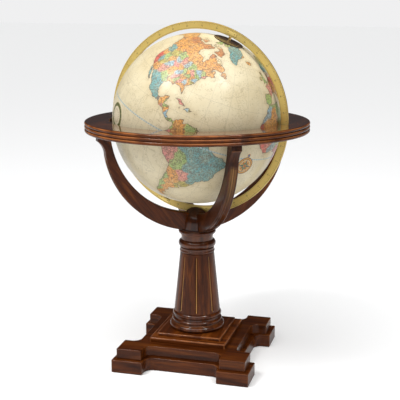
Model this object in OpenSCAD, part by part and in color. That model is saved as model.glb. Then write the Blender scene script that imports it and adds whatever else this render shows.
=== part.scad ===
// Pedestal globe: a ball of two half shells in a full brass meridian ring, carried by a
// four-armed cradle with a horizon ring, on a turned and fluted column and a two-tier base.
// +Z is up and the origin is on the floor under the column. The meridian ring lies in the
// XZ plane, and the top of the ball's axis leans towards +X.

/* [Ball] */
// Diameter of the ball
ball_d = 406; // [360:1:500]
// Wall of the ball's two half shells
ball_wall = 3; // [2:0.5:4]
// Tilt of the ball's axis from upright, in degrees
axis_tilt = 23.5; // [0:0.5:45]
// Radius of the hour dial that lies on the ball round the top pole
dial_r = 36; // [30:1:42]
// Thickness of the hour dial
dial_t = 1.5; // [1:0.25:2]
// Height of the joining band inside the ball
band_h = 20; // [14:1:30]
// Thickness of the joining band
band_t = 4; // [3:0.5:6]

/* [Meridian ring] */
// Space between the ball and the ring
ring_gap = 9.5; // [8:0.5:14]
// Depth of the ring from its inner to its outer edge
ring_depth = 18; // [16:0.5:22]
// Thickness of the ring
ring_t = 5; // [4.5:0.25:7]
// Thickness of the plates that clasp the ring at each pole
plate_t = 1.5; // [1:0.25:2]
// Length of a pole plate along the ring
plate_l = 28; // [24:1:34]
// Height of a pole plate across the ring
plate_h = 9; // [8:0.5:11]
// Radius of the pins that the ball turns on
pin_r = 1.6; // [1.2:0.1:1.9]
// Radius of the pole plates' screws
plate_screw_r = 1.4; // [1:0.1:1.6]

/* [Horizon ring] */
// Space between the ball and the horizon ring
horizon_gap = 6; // [5:0.5:8]
// Width of the horizon ring
horizon_w = 60.5; // [50:0.5:75]
// Thickness of the horizon ring
horizon_h = 25; // [20:0.5:32]
// Drop of the horizon ring's top below the ball's centre
horizon_drop = 1.5; // [0:0.5:5]
// Clear width of the notches that the meridian passes through
notch_clear = 10; // [9:0.5:14]
// Thickness of the notch liners
notch_liner_t = 1; // [0.75:0.25:2]

/* [Cradle arms] */
// Thickness of an arm
arm_w = 24; // [18:1:30]
// Space between the ball and the middle of an arm's inner edge
arm_gap = 15.5; // [14:0.5:20]
// Drop of the inner edge's centre below the ball's centre
arm_inner_drop = 10; // [6:1:14]
// Drop of the outer edge's centre below the ball's centre
arm_outer_drop = 40; // [30:1:44]
// Set-back of an arm's top from the horizon ring's rim
arm_inset = 21.5; // [18:0.5:26]
// Height of the outward sweep under the horizon ring
flare_h = 49.5; // [40:0.5:60]
// Height of the straight lip at the top of an arm
lip_h = 15; // [8:0.5:20]

/* [Column] */
// Height of the turned foot
foot_h = 43.5; // [40:0.5:56]
// Height of the fluted shaft
shaft_h = 150; // [120:1:240]
// Radius of the shaft at its bottom
shaft_r_low = 57; // [50:0.5:66]
// Radius of the shaft at its top
shaft_r_top = 42; // [36:0.5:48]
// Number of flutes
flutes = 8; // [6:1:12]
// Radius of a flute
flute_r = 3; // [2:0.25:4]
// Height of the turned collar
collar_h = 58; // [54:0.5:70]
// Radius of the domed hub
hub_r = 38; // [35:0.5:44]
// Height of the meridian's lowest point above the hub's foot
saddle_h = 39.5; // [37:0.5:44]

/* [Base] */
// Thickness of the felt pads
pad_t = 2; // [1:0.5:4]
// Radius of the felt pads
pad_r = 24; // [15:1:30]
// Turn of the base under the cradle, in degrees
base_turn = 9; // [0:1:45]
// Width of the lower tier
lower_w = 337; // [300:1:405]
// Thickness of the lower tier
lower_h = 30; // [24:1:40]
// Set-back of the upper tier from the lower tier
tier_inset = 10; // [4:1:15]
// Thickness of the upper tier
upper_h = 26; // [20:1:36]
// Length of a corner foot along the side
foot_l = 77; // [66:1:88]
// Depth of the recess between two corner feet
recess_d = 37.5; // [28:0.5:42]
// Radius of the coves in the recess corners
cove_r = 20; // [10:1:26]
// Width of the lower plinth step
step_low_w = 190; // [170:1:205]
// Thickness of the lower plinth step
step_low_h = 12; // [8:0.5:16]
// Width of the upper plinth step
step_top_w = 160; // [142:1:168]
// Thickness of the upper plinth step
step_top_h = 8.5; // [6:0.5:14]

/* [Fasteners] */
// Radius of the tie rod through the column
rod_r = 5; // [4:0.5:6]
// Radius of the base screws
base_screw_r = 2.5; // [2:0.25:3.5]
// Length of the base screws
base_screw_l = 44; // [38:1:47]
// Radius of the dowels in the cradle
dowel_r = 4; // [3:0.5:5]
// Running clearance between a moving piece and what it turns in
run_gap = 0.05; // [0.03:0.01:0.1]
// Clearance of a fixed piece in its hole or slot
fit_gap = 0.05; // [0.03:0.01:0.1]
// Free gap between curved faces that pass each other
pass_gap = 0.3; // [0.3:0.1:0.6]

/* [Hidden] */
$fn = 96;
cut = 1;

// heights, from the floor up
lower_z = pad_t;
upper_z = lower_z + lower_h;
step_low_z = upper_z + upper_h;
step_top_z = step_low_z + step_low_h;
foot_z = step_top_z + step_top_h;
shaft_z = foot_z + foot_h;
collar_z = shaft_z + shaft_h;
hub_z = collar_z + collar_h;

// the ball and what goes round it
ball_r = ball_d / 2;
shell_r = ball_r - ball_wall;
ring_in_r = ball_r + ring_gap;
ring_out_r = ring_in_r + ring_depth;
centre_z = hub_z + saddle_h + ring_out_r;
horizon_in_r = ball_r + horizon_gap;
horizon_out_r = horizon_in_r + horizon_w;
horizon_z = centre_z - horizon_drop - horizon_h;
bead_r = horizon_h / 6;
bead_groove = 0.6;

// poles: a pin, its shoulder, a bushing and two plates at each end of the axis
pin_end_r = shell_r - 12;
pin_tip_gap = 0.5;
shoulder_r = 3.5;
shoulder_low_r = ball_r + pass_gap + dial_t + pass_gap;
bushing_r = 6;
bushing_flange_r = 11;
bushing_flange_t = 3;
plate_mid_r = ring_in_r + ring_depth / 2;
plate_screw_x = plate_l / 2 - 5;
plate_head_r = plate_screw_r + plate_t - 0.3;

// the saddle that the ring slides in, and the notches in the horizon ring
saddle_l = 44;
saddle_floor = 3.5;
saddle_wall = 1.5;
saddle_grip = 2.5;
saddle_rise = 4;
saddle_w = notch_clear + 2 * saddle_wall;
saddle_out_r = ring_out_r + pass_gap + saddle_floor;
groove_side = 0.1;
notch_w = notch_clear + 2 * notch_liner_t;
notch_gap = 1.5;
notch_out_r = ring_out_r + notch_gap + notch_liner_t;

// cradle arms: the inner and outer edges are arcs, with a sweep out at the top
arm_in_r = ball_r + arm_gap;
arm_in_z = centre_z - arm_inner_drop;
arm_foot_drop = 2.5;
arm_out_z = centre_z - arm_outer_drop;
arm_out_r = arm_out_z - (hub_z - arm_foot_drop);
arm_top_r = horizon_out_r - arm_inset;
flare_z = horizon_z - flare_h;
flare_start_r = sqrt(pow(arm_out_r, 2) - pow(arm_out_z - flare_z, 2));
flare_run = arm_top_r - flare_start_r;
flare_rise = flare_h - lip_h;
flare_r = (pow(flare_run, 2) + pow(flare_rise, 2)) / (2 * flare_run);
arm_angles = [-45, 45, 135, 225];

// hub
dome_z = hub_z + 16;
insert_r = 8;
insert_h = 16;
rod_hole_r = rod_r + 0.5;

// dowels, in pairs: level ones from hub to arm, upright ones from arm to horizon ring
hub_dowel_zs = [hub_z + 11, hub_z + 26];
hub_dowel_in_r = hub_r - 12;
hub_dowel_l = 28;
top_dowel_r = (arm_in_r + arm_top_r) / 2;
top_dowel_side = arm_w / 4;
top_dowel_half = 8;

// splines across the joints of the horizon ring
spline_l = 30;
spline_w = 20;
spline_t = 4;
spline_r = horizon_in_r + horizon_w / 2;
spline_z = horizon_z + horizon_h - 12;

// base
upper_w = lower_w - 2 * tier_inset;
upper_foot_l = foot_l - 15;
pad_pos = (lower_w - foot_l) / 2;
base_screw_pos = 70;
screw_head_r = 2 * base_screw_r;
screw_head_h = 3;
screw_sink = 6;
nut_well_r = 16;
nut_well_h = 14;
washer_r = 14;
washer_h = 2;
nut_r = 9;
nut_h = 8;
rod_z = lower_z + nut_well_h - washer_h - nut_h - 3;

wood = [0.34, 0.15, 0.07];
wood_dark = [0.24, 0.10, 0.05];
brass = [0.80, 0.66, 0.32];
steel = [0.62, 0.62, 0.64];
felt = [0.10, 0.16, 0.10];
map_cream = [0.86, 0.82, 0.66];
map_blue = [0.48, 0.66, 0.66];
plastic = [0.16, 0.12, 0.10];

// turns a shape about the base's own upright axis
module on_base() rotate([0, 0, base_turn]) children();

// puts a shape on the ball's axis: local +Z runs from the ball's centre to the north pole
module on_axis() translate([0, 0, centre_z]) rotate([0, axis_tilt, 0]) children();

// the same for the south pole
module on_south_axis() translate([0, 0, centre_z]) rotate([0, axis_tilt + 180, 0]) children();

// a disc about the ball's centre in the plane of the meridian ring
module ring_disc(r, w) {
    translate([0, 0, centre_z]) rotate([90, 0, 0])
        cylinder(r = r, h = w, center = true, $fn = 180);
}

// ---- base ----

module corners(d) for (x = [-d, d]) for (y = [-d, d]) translate([x, y, 0]) children();

// square board with a coved recess in the middle of each side
module tier_outline(w, foot) {
    gap = w - 2 * foot;
    difference() {
        square(w, center = true);
        for (k = [0:3]) rotate(90 * k) translate([0, w / 2 - recess_d]) {
            translate([-gap / 2 + cove_r, 0]) square([gap - 2 * cove_r, recess_d + cut]);
            translate([-gap / 2, cove_r]) square([gap, recess_d - cove_r + cut]);
            for (s = [-1, 1]) translate([s * (gap / 2 - cove_r), cove_r]) circle(r = cove_r);
        }
    }
}

module felt_pads() {
    color(felt) on_base() corners(pad_pos) cylinder(r = pad_r, h = pad_t);
}

module base_lower_tier() {
    color(wood) on_base() difference() {
        translate([0, 0, lower_z]) linear_extrude(lower_h) tier_outline(lower_w, foot_l);
        translate([0, 0, lower_z - cut]) cylinder(r = rod_hole_r, h = lower_h + 2 * cut);
        translate([0, 0, lower_z - cut]) cylinder(r = nut_well_r, h = nut_well_h + cut);
        corners(base_screw_pos) translate([0, 0, lower_z - cut]) {
            cylinder(r = base_screw_r + fit_gap, h = lower_h + 2 * cut);
            cylinder(r = screw_head_r + fit_gap, h = screw_sink + screw_head_h + cut);
        }
    }
}

module base_upper_tier() {
    color(wood) on_base() difference() {
        translate([0, 0, upper_z]) linear_extrude(upper_h) tier_outline(upper_w, upper_foot_l);
        translate([0, 0, upper_z - cut]) cylinder(r = rod_hole_r, h = upper_h + 2 * cut);
        corners(base_screw_pos) translate([0, 0, upper_z - cut])
            cylinder(r = base_screw_r + fit_gap, h = upper_h - 3 + cut);
    }
}

module plinth_board(w, z, h) {
    on_base() difference() {
        translate([-w / 2, -w / 2, z]) cube([w, w, h]);
        translate([0, 0, z - cut]) cylinder(r = rod_hole_r, h = h + 2 * cut);
    }
}

module plinth_step_lower() color(wood) plinth_board(step_low_w, step_low_z, step_low_h);

module plinth_step_upper() color(wood_dark) plinth_board(step_top_w, step_top_z, step_top_h);

module base_screws() {
    color(steel) on_base() corners(base_screw_pos) translate([0, 0, lower_z + screw_sink]) {
        cylinder(r = screw_head_r, h = screw_head_h);
        cylinder(r = base_screw_r, h = base_screw_l);
    }
}

// ---- column ----

// a rounded bead for a turning: its widest radius, its middle height and its thickness
module bead(r, z, h) {
    translate([r - h / 2, z]) circle(d = h);
    translate([0, z - h / 2]) square([r - h / 2, h]);
}

module turned(z) {
    translate([0, 0, z]) rotate_extrude($fn = 120) intersection() {
        translate([0, -cut * 100]) square([200, 800]);
        children();
    }
}

module column_foot() {
    color(wood) difference() {
        turned(foot_z) {
            bead(shaft_r_low + 11, 7, 14);
            square([shaft_r_low + 2, 17]);
            bead(shaft_r_low + 5, 21.5, 9);
            square([shaft_r_low, foot_h - 8]);
            bead(shaft_r_low + 3.5, foot_h - 7, 14);
        }
        translate([0, 0, foot_z - cut]) cylinder(r = rod_hole_r, h = foot_h + 2 * cut);
    }
}

module column_shaft() {
    lean = atan((shaft_r_low - shaft_r_top) / shaft_h);
    flute_low = 8;
    flute_l = shaft_h - flute_low - 10;
    flute_out = 0.5;
    color(wood) difference() {
        translate([0, 0, shaft_z]) cylinder(r1 = shaft_r_low, r2 = shaft_r_top, h = shaft_h);
        translate([0, 0, shaft_z - cut]) cylinder(r = rod_hole_r, h = shaft_h + 2 * cut);
        for (k = [0:flutes - 1]) rotate([0, 0, (k + 0.5) * 360 / flutes])
            translate([shaft_r_low + flute_out, 0, shaft_z]) rotate([0, -lean, 0])
                translate([0, 0, flute_low]) {
                    cylinder(r = flute_r, h = flute_l, $fn = 32);
                    sphere(r = flute_r, $fn = 32);
                    translate([0, 0, flute_l]) sphere(r = flute_r, $fn = 32);
                }
    }
}

module column_collar() {
    neck_r = shaft_r_top - 3;
    flange_r = hub_r + 8;
    color(wood) difference() {
        turned(collar_z) {
            bead(shaft_r_top + 1.5, 4, 8);
            square([shaft_r_top, 12]);
            bead(shaft_r_top + 4, 22.5, 21);
            square([neck_r, collar_h]);
            translate([0, collar_h - 14]) square([flange_r - 5, 3]);
            bead(flange_r, collar_h - 6, 10);
            translate([0, collar_h - 3]) square([flange_r - 4, 3]);
        }
        translate([0, 0, collar_z - cut]) cylinder(r = rod_hole_r, h = collar_h + 2 * cut);
    }
}

module tie_rod() {
    color(steel) translate([0, 0, rod_z]) cylinder(r = rod_r, h = hub_z + insert_h - rod_z);
}

module tie_rod_washer() {
    color(steel) translate([0, 0, lower_z + nut_well_h - washer_h]) difference() {
        cylinder(r = washer_r, h = washer_h);
        translate([0, 0, -cut]) cylinder(r = rod_r + fit_gap, h = washer_h + 2 * cut);
    }
}

module tie_rod_nut() {
    color(steel) translate([0, 0, lower_z + nut_well_h - washer_h - nut_h]) difference() {
        cylinder(r = nut_r, h = nut_h, $fn = 6);
        translate([0, 0, -cut]) cylinder(r = rod_r + fit_gap, h = nut_h + 2 * cut);
    }
}

module rod_insert() {
    color(brass) translate([0, 0, hub_z]) difference() {
        cylinder(r = insert_r, h = insert_h);
        translate([0, 0, -cut]) cylinder(r = rod_r + fit_gap, h = insert_h + 2 * cut);
    }
}

// ---- cradle ----

module hub_blank(below) {
    translate([0, 0, hub_z - below]) cylinder(r = hub_r, h = dome_z - hub_z + below);
    translate([0, 0, dome_z]) sphere(r = hub_r);
}

// level dowel positions between the hub and one arm; grow opens them into holes
module hub_dowel_pair(grow) {
    for (z = hub_dowel_zs) translate([hub_dowel_in_r - grow, 0, z]) rotate([0, 90, 0])
        cylinder(r = dowel_r + grow, h = hub_dowel_l + 2 * grow);
}

// upright dowel positions between one arm and the horizon ring
module top_dowel_pair(grow) {
    for (s = [-1, 1])
        translate([top_dowel_r, s * top_dowel_side, horizon_z - top_dowel_half - grow])
            cylinder(r = dowel_r + grow, h = 2 * (top_dowel_half + grow));
}

module cradle_hub() {
    color(wood_dark) difference() {
        intersection() {
            hub_blank(0);
            translate([-hub_r, -hub_r, hub_z]) cube([2 * hub_r, 2 * hub_r, 2 * hub_r]);
        }
        ring_disc(saddle_out_r, saddle_w);
        translate([0, 0, hub_z - cut]) cylinder(r = insert_r + fit_gap, h = insert_h + 2 * cut);
        for (a = arm_angles) rotate([0, 0, a]) hub_dowel_pair(fit_gap);
    }
}

module saddle_liner() {
    color(plastic) difference() {
        intersection() {
            ring_disc(saddle_out_r, saddle_w);
            translate([-saddle_l / 2, -saddle_w / 2, hub_z])
                cube([saddle_l, saddle_w, 2 * saddle_h]);
        }
        ring_disc(ring_out_r - saddle_rise, saddle_w + 2 * cut);
        ring_disc(ring_out_r - saddle_grip, notch_clear);
        ring_disc(ring_out_r + pass_gap, ring_t + 2 * groove_side);
    }
}

module arm_side() {
    difference() {
        union() {
            intersection() {
                translate([0, arm_out_z]) circle(r = arm_out_r, $fn = 240);
                square([2 * arm_out_r, flare_z]);
            }
            difference() {
                translate([0, flare_z]) square([arm_top_r, flare_h]);
                translate([flare_start_r + flare_r, flare_z]) circle(r = flare_r);
            }
        }
        translate([0, arm_in_z]) circle(r = arm_in_r, $fn = 240);
    }
}

module arm(a) {
    color(wood) rotate([0, 0, a]) difference() {
        rotate([90, 0, 0]) linear_extrude(arm_w, center = true) arm_side();
        hub_blank(2 * arm_foot_drop);
        hub_dowel_pair(fit_gap);
        top_dowel_pair(fit_gap);
    }
}

module arm_front_right() arm(arm_angles[0]);
module arm_back_right() arm(arm_angles[1]);
module arm_back_left() arm(arm_angles[2]);
module arm_front_left() arm(arm_angles[3]);

module arm_hub_dowels() color(wood) for (a = arm_angles) rotate([0, 0, a]) hub_dowel_pair(0);

module arm_top_dowels() color(wood) for (a = arm_angles) rotate([0, 0, a]) top_dowel_pair(0);

module horizon_outline() {
    flat_r = horizon_out_r - bead_r + bead_groove;
    translate([horizon_in_r, horizon_z]) square([flat_r - horizon_in_r, horizon_h]);
    for (k = [0:2]) translate([horizon_out_r - bead_r, horizon_z + (2 * k + 1) * bead_r])
        circle(r = bead_r, $fn = 32);
}

module spline_at(a, grow) {
    rotate([0, 0, a]) translate([spline_r, 0, spline_z])
        cube([spline_l + 2 * grow, spline_w + 2 * grow, spline_t + 2 * grow], center = true);
}

module notch_block(side, w, out_r, z, h) {
    translate([side > 0 ? horizon_in_r - 2 * cut : -out_r, -w / 2, z])
        cube([out_r - horizon_in_r + 2 * cut, w, h]);
}

// a quarter of the horizon ring, from one arm to the next, with its middle at angle a
module horizon_quarter(a) {
    reach = 2 * horizon_out_r;
    color(wood) difference() {
        intersection() {
            rotate_extrude($fn = 240) horizon_outline();
            rotate([0, 0, a]) linear_extrude(2 * centre_z)
                polygon([[0, 0], [reach, -reach], [reach, reach]]);
        }
        for (s = [-1, 1]) {
            spline_at(a + 45 * s, fit_gap);
            rotate([0, 0, a + 45 * s]) top_dowel_pair(fit_gap);
            notch_block(s, notch_w, notch_out_r, horizon_z - cut, horizon_h + 2 * cut);
        }
    }
}

module horizon_right() horizon_quarter(0);
module horizon_back() horizon_quarter(90);
module horizon_left() horizon_quarter(180);
module horizon_front() horizon_quarter(270);

module horizon_splines() color(wood_dark) for (a = arm_angles) spline_at(a, 0);

module notch_liners() {
    color(plastic) for (s = [-1, 1]) intersection() {
        difference() {
            notch_block(s, notch_w, notch_out_r, horizon_z, horizon_h);
            notch_block(s, notch_clear, notch_out_r - notch_liner_t, horizon_z - cut,
                horizon_h + 2 * cut);
        }
        difference() {
            translate([0, 0, horizon_z]) cylinder(r = horizon_out_r, h = horizon_h);
            translate([0, 0, horizon_z - cut])
                cylinder(r = horizon_in_r + 0.5, h = horizon_h + 2 * cut);
        }
    }
}

// ---- meridian ring and poles ----

// screw positions in a pair of pole plates, as level cylinders along Y
module plate_screw_pair(r, w) {
    for (s = [-1, 1]) translate([s * plate_screw_x, 0, plate_mid_r]) rotate([90, 0, 0])
        cylinder(r = r, h = w, center = true, $fn = 32);
}

module plate_countersinks(grow) {
    for (s = [-1, 1])
        translate([s * plate_screw_x, -ring_t / 2 - plate_t, plate_mid_r])
            rotate([-90, 0, 0])
                cylinder(r1 = plate_head_r + grow, r2 = plate_screw_r + grow,
                    h = plate_head_r - plate_screw_r, $fn = 32);
}

module meridian_ring() {
    color(brass) difference() {
        ring_disc(ring_out_r, ring_t);
        ring_disc(ring_in_r, ring_t + 2 * cut);
        on_axis() {
            translate([0, 0, ring_in_r - cut])
                cylinder(r = pin_r + fit_gap, h = ring_depth + 2 * cut, $fn = 32);
            plate_screw_pair(plate_screw_r + fit_gap, ring_t + 2 * cut);
        }
        on_south_axis() {
            translate([0, 0, ring_in_r - cut])
                cylinder(r = pin_r + fit_gap, h = ring_depth + 2 * cut, $fn = 32);
            plate_screw_pair(plate_screw_r + fit_gap, ring_t + 2 * cut);
        }
    }
}

// side is -1 for the plate towards -Y, which has the countersinks, and 1 for the other
module pole_plate(side) {
    y_low = side < 0 ? -ring_t / 2 - plate_t : ring_t / 2;
    difference() {
        translate([-plate_l / 2, y_low, plate_mid_r - plate_h / 2])
            cube([plate_l, plate_t, plate_h]);
        plate_screw_pair(plate_screw_r + fit_gap, ring_t + 2 * plate_t + 2 * cut);
        if (side < 0) plate_countersinks(fit_gap);
    }
}

module north_plate_front() color(brass) on_axis() pole_plate(-1);
module north_plate_back() color(brass) on_axis() pole_plate(1);
module south_plate_front() color(brass) on_south_axis() pole_plate(-1);
module south_plate_back() color(brass) on_south_axis() pole_plate(1);

module plate_screws() {
    plate_screw_pair(plate_screw_r, ring_t + 2 * plate_t);
    plate_countersinks(0);
}

module north_plate_screws() color(steel) on_axis() plate_screws();
module south_plate_screws() color(steel) on_south_axis() plate_screws();

module pole_pin() {
    translate([0, 0, pin_end_r])
        cylinder(r = pin_r, h = ring_out_r - pin_tip_gap - pin_end_r, $fn = 32);
    translate([0, 0, shoulder_low_r])
        cylinder(r = shoulder_r, h = ring_in_r - 2 * fit_gap - shoulder_low_r, $fn = 48);
}

module north_pole_pin() color(brass) on_axis() pole_pin();
module south_pole_pin() color(steel) on_south_axis() pole_pin();

// ---- ball and hour dial ----

// a half shell about local +Z, cut square at the equator, with a hole for its bushing
module half_shell() {
    difference() {
        sphere(r = ball_r, $fn = 180);
        sphere(r = shell_r, $fn = 180);
        translate([-ball_d, -ball_d, -2 * ball_d]) cube([2 * ball_d, 2 * ball_d, 2 * ball_d]);
        cylinder(r = bushing_r + fit_gap, h = ball_d, $fn = 48);
    }
}

module globe_north_half() color(map_cream) on_axis() half_shell();
module globe_south_half() color(map_blue) on_south_axis() half_shell();

module equator_band() {
    color(plastic) on_axis() difference() {
        intersection() {
            sphere(r = shell_r - fit_gap, $fn = 180);
            cylinder(r = ball_r, h = band_h, center = true);
        }
        cylinder(r = shell_r - band_t, h = band_h + 2 * cut, center = true, $fn = 180);
    }
}

module bushing() {
    top = sqrt(pow(ball_r, 2) - pow(bushing_r, 2)) - fit_gap;
    seat = sqrt(pow(shell_r, 2) - pow(bushing_flange_r, 2)) - fit_gap;
    difference() {
        union() {
            translate([0, 0, seat - bushing_flange_t]) {
                cylinder(r = bushing_flange_r, h = bushing_flange_t);
                cylinder(r = bushing_r, h = top - seat + bushing_flange_t, $fn = 48);
            }
        }
        translate([0, 0, pin_end_r]) cylinder(r = pin_r + run_gap, h = ball_r, $fn = 32);
    }
}

module north_bushing() color(plastic) on_axis() bushing();
module south_bushing() color(plastic) on_south_axis() bushing();

module hour_dial() {
    low_r = ball_r + pass_gap;
    color(wood_dark) on_axis() difference() {
        intersection() {
            sphere(r = low_r + dial_t, $fn = 180);
            cylinder(r = dial_r, h = ball_d);
        }
        sphere(r = low_r, $fn = 180);
        cylinder(r = pin_r + run_gap, h = ball_d, $fn = 32);
    }
}

felt_pads();
base_lower_tier();
base_upper_tier();
plinth_step_lower();
plinth_step_upper();
base_screws();
column_foot();
column_shaft();
column_collar();
cradle_hub();
tie_rod();
tie_rod_washer();
tie_rod_nut();
rod_insert();
arm_front_right();
arm_back_right();
arm_back_left();
arm_front_left();
arm_hub_dowels();
arm_top_dowels();
horizon_right();
horizon_back();
horizon_left();
horizon_front();
horizon_splines();
notch_liners();
saddle_liner();
meridian_ring();
north_plate_front();
north_plate_back();
south_plate_front();
south_plate_back();
north_plate_screws();
south_plate_screws();
north_pole_pin();
south_pole_pin();
globe_north_half();
globe_south_half();
equator_band();
north_bushing();
south_bushing();
hour_dial();
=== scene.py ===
import math
from functools import partial

import bmesh
import bpy
import numpy as np
from mathutils import Matrix, Vector


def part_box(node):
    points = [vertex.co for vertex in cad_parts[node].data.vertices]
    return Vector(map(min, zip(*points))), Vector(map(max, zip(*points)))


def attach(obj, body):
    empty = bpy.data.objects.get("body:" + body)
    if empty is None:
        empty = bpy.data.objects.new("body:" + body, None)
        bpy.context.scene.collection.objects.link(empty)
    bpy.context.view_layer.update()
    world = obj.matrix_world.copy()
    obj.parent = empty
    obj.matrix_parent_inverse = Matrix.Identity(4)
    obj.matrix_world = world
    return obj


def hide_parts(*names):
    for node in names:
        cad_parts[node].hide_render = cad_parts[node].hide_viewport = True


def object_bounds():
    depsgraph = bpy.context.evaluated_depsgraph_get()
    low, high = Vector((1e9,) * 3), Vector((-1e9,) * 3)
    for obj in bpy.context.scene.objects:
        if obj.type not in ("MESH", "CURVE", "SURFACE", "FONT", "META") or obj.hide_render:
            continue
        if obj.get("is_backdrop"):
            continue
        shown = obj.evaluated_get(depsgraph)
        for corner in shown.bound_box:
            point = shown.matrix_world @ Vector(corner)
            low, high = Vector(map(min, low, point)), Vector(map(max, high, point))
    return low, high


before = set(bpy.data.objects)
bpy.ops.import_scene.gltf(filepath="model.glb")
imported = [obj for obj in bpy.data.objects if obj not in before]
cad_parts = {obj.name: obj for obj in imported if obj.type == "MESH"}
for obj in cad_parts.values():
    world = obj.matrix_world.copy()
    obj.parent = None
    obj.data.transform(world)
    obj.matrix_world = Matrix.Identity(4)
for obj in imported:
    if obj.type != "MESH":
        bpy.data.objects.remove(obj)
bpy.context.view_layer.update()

# ---- Camera, floor and studio light ----
# The globe is seen from the front and a little to the right, from above the horizon ring. It
# stands on a plain pale floor, under one wide light from above and a small soft lamp at each side.

mm = 0.001
scene = bpy.context.scene
view_turn = math.radians(24.5)
view_dip = math.radians(12.44)
view_far = 2.1495
view_height = 0.8744

eye = bpy.data.cameras.new("camera")
eye.lens = 80.96
eye.sensor_width = 36
eye.shift_x = 0.007
camera = bpy.data.objects.new("camera", eye)
camera.location = (view_far * math.sin(view_turn), -view_far * math.cos(view_turn), view_height)
camera.rotation_euler = (math.pi / 2 - view_dip, 0, view_turn)
scene.collection.objects.link(camera)
scene.camera = camera


crease = math.radians(38)


def add(name, shape):
    """Puts a finished bmesh into the scene, smooth but for its sharp edges."""
    mesh = bpy.data.meshes.new(name)
    shape.to_mesh(mesh)
    shape.free()
    mesh.shade_smooth()
    mesh.set_sharp_from_angle(angle=crease)
    thing = bpy.data.objects.new(name, mesh)
    scene.collection.objects.link(thing)
    return thing


def paint(piece, material):
    """Gives a piece one material."""
    piece.data.materials.clear()
    piece.data.materials.append(material)


def new_material(name):
    """A material with its shader and a place to join nodes to it."""
    made = bpy.data.materials.new(name)
    made.use_nodes = True
    tree = made.node_tree
    return made, tree, tree.nodes["Principled BSDF"]


def node(tree, kind, **settings):
    """A shader node. A key that names an input sets its value, or joins a socket to it."""
    made = tree.nodes.new(kind)
    for key, value in settings.items():
        if key not in made.inputs:
            setattr(made, key, value)
        elif isinstance(value, bpy.types.NodeSocket):
            tree.links.new(value, made.inputs[key])
        else:
            made.inputs[key].default_value = value
    return made


floor_half = 30
floor_shape = bmesh.new()
bmesh.ops.create_grid(floor_shape, x_segments=4, y_segments=4, size=floor_half)
floor = add("floor", floor_shape)
floor_paint, _, floor_shader = new_material("pale floor")
floor_shader.inputs["Base Color"].default_value = (0.92, 0.92, 0.92, 1)
floor_shader.inputs["Roughness"].default_value = 0.7
paint(floor, floor_paint)
floor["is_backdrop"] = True

world = bpy.data.worlds.new("surround")
world.use_nodes = True
sky = world.node_tree
backdrop = sky.nodes["Background"]
backdrop.inputs["Color"].default_value = (0.87, 0.87, 0.875, 1)
room = node(sky, "ShaderNodeBackground", Color=(0.86, 0.93, 1, 1), Strength=0.05)
seen = node(sky, "ShaderNodeLightPath")
pick = node(sky, "ShaderNodeMixShader")
sky.links.new(seen.outputs["Is Camera Ray"], pick.inputs["Fac"])
sky.links.new(room.outputs["Background"], pick.inputs[1])
sky.links.new(backdrop.outputs["Background"], pick.inputs[2])
sky.links.new(pick.outputs["Shader"], sky.nodes["World Output"].inputs["Surface"])
scene.world = world


lamp_aim_z = 0.5


def soft_light(name, turn, height, far, size, power):
    """A small soft lamp at a turn from the camera's side, aimed at the middle of the globe."""
    lamp = bpy.data.lights.new(name, "AREA")
    lamp.shape = "RECTANGLE"
    lamp.size, lamp.size_y = size
    lamp.energy = power
    holder = bpy.data.objects.new(name, lamp)
    angle = view_turn + math.radians(turn)
    holder.location = (far * math.sin(angle), -far * math.cos(angle), height)
    aim = Vector((0, 0, lamp_aim_z)) - holder.location
    holder.rotation_euler = aim.to_track_quat("-Z", "Y").to_euler()
    holder.visible_camera = False
    scene.collection.objects.link(holder)


soft_light("key light", -58, 2.5, 1.45, (0.35, 0.9), 33)
soft_light("fill light", 50, 2.4, 1.5, (0.3, 0.8), 21)
day = bpy.data.lights.new("wide light", "SUN")
day.energy = 3.25
day.angle = math.radians(80)
wide_light = bpy.data.objects.new("wide light", day)
wide_light.rotation_euler = (math.radians(20), 0, view_turn - math.radians(24))
scene.collection.objects.link(wide_light)
scene.view_settings.view_transform = "Standard"

# ---- Base: two boards with coved recesses ----
# Two thick hardwood boards, sawn to a square with a coved recess in each side, their top edges
# rounded over, stained dark red-brown and lacquered. They are screwed together from below.

lower_low, lower_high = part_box("base_lower_tier")
upper_low, upper_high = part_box("base_upper_tier")
base_turn = math.radians(9)
cove_r = 20 * mm
recess_d = 37.5 * mm
corner_ease = 2.4 * mm
rim_ease = 1.8 * mm


def mixed(tree, amount, first, second, mode="MIX"):
    """A colour mixed from two others by a share. Each is a socket or a plain value."""
    made = node(tree, "ShaderNodeMixRGB", blend_type=mode, Fac=amount, Color1=first, Color2=second)
    return made.outputs["Color"]


def sum_of(tree, kind, *values):
    """The result of a sum on sockets and plain numbers."""
    made = node(tree, "ShaderNodeMath", operation=kind)
    for place, value in zip(made.inputs, values):
        if isinstance(value, bpy.types.NodeSocket):
            tree.links.new(value, place)
        else:
            place.default_value = value
    return made.outputs["Value"]


def ramped(tree, value, low=0.0, high=1.0, start=0.0, stop=1.0):
    """A value spread from one range to another and held at its ends."""
    ranges = {"From Min": low, "From Max": high, "To Min": start, "To Max": stop}
    return node(tree, "ShaderNodeMapRange", Value=value, **ranges).outputs["Result"]


def noise_on(tree, place, scale, detail=3.0, rough=0.6, **more):
    """Cloudy noise over the places given, as one value."""
    made = node(tree, "ShaderNodeTexNoise", Vector=place, Scale=scale, Detail=detail, Roughness=rough,
                **more)
    return made.outputs["Fac"]


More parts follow.
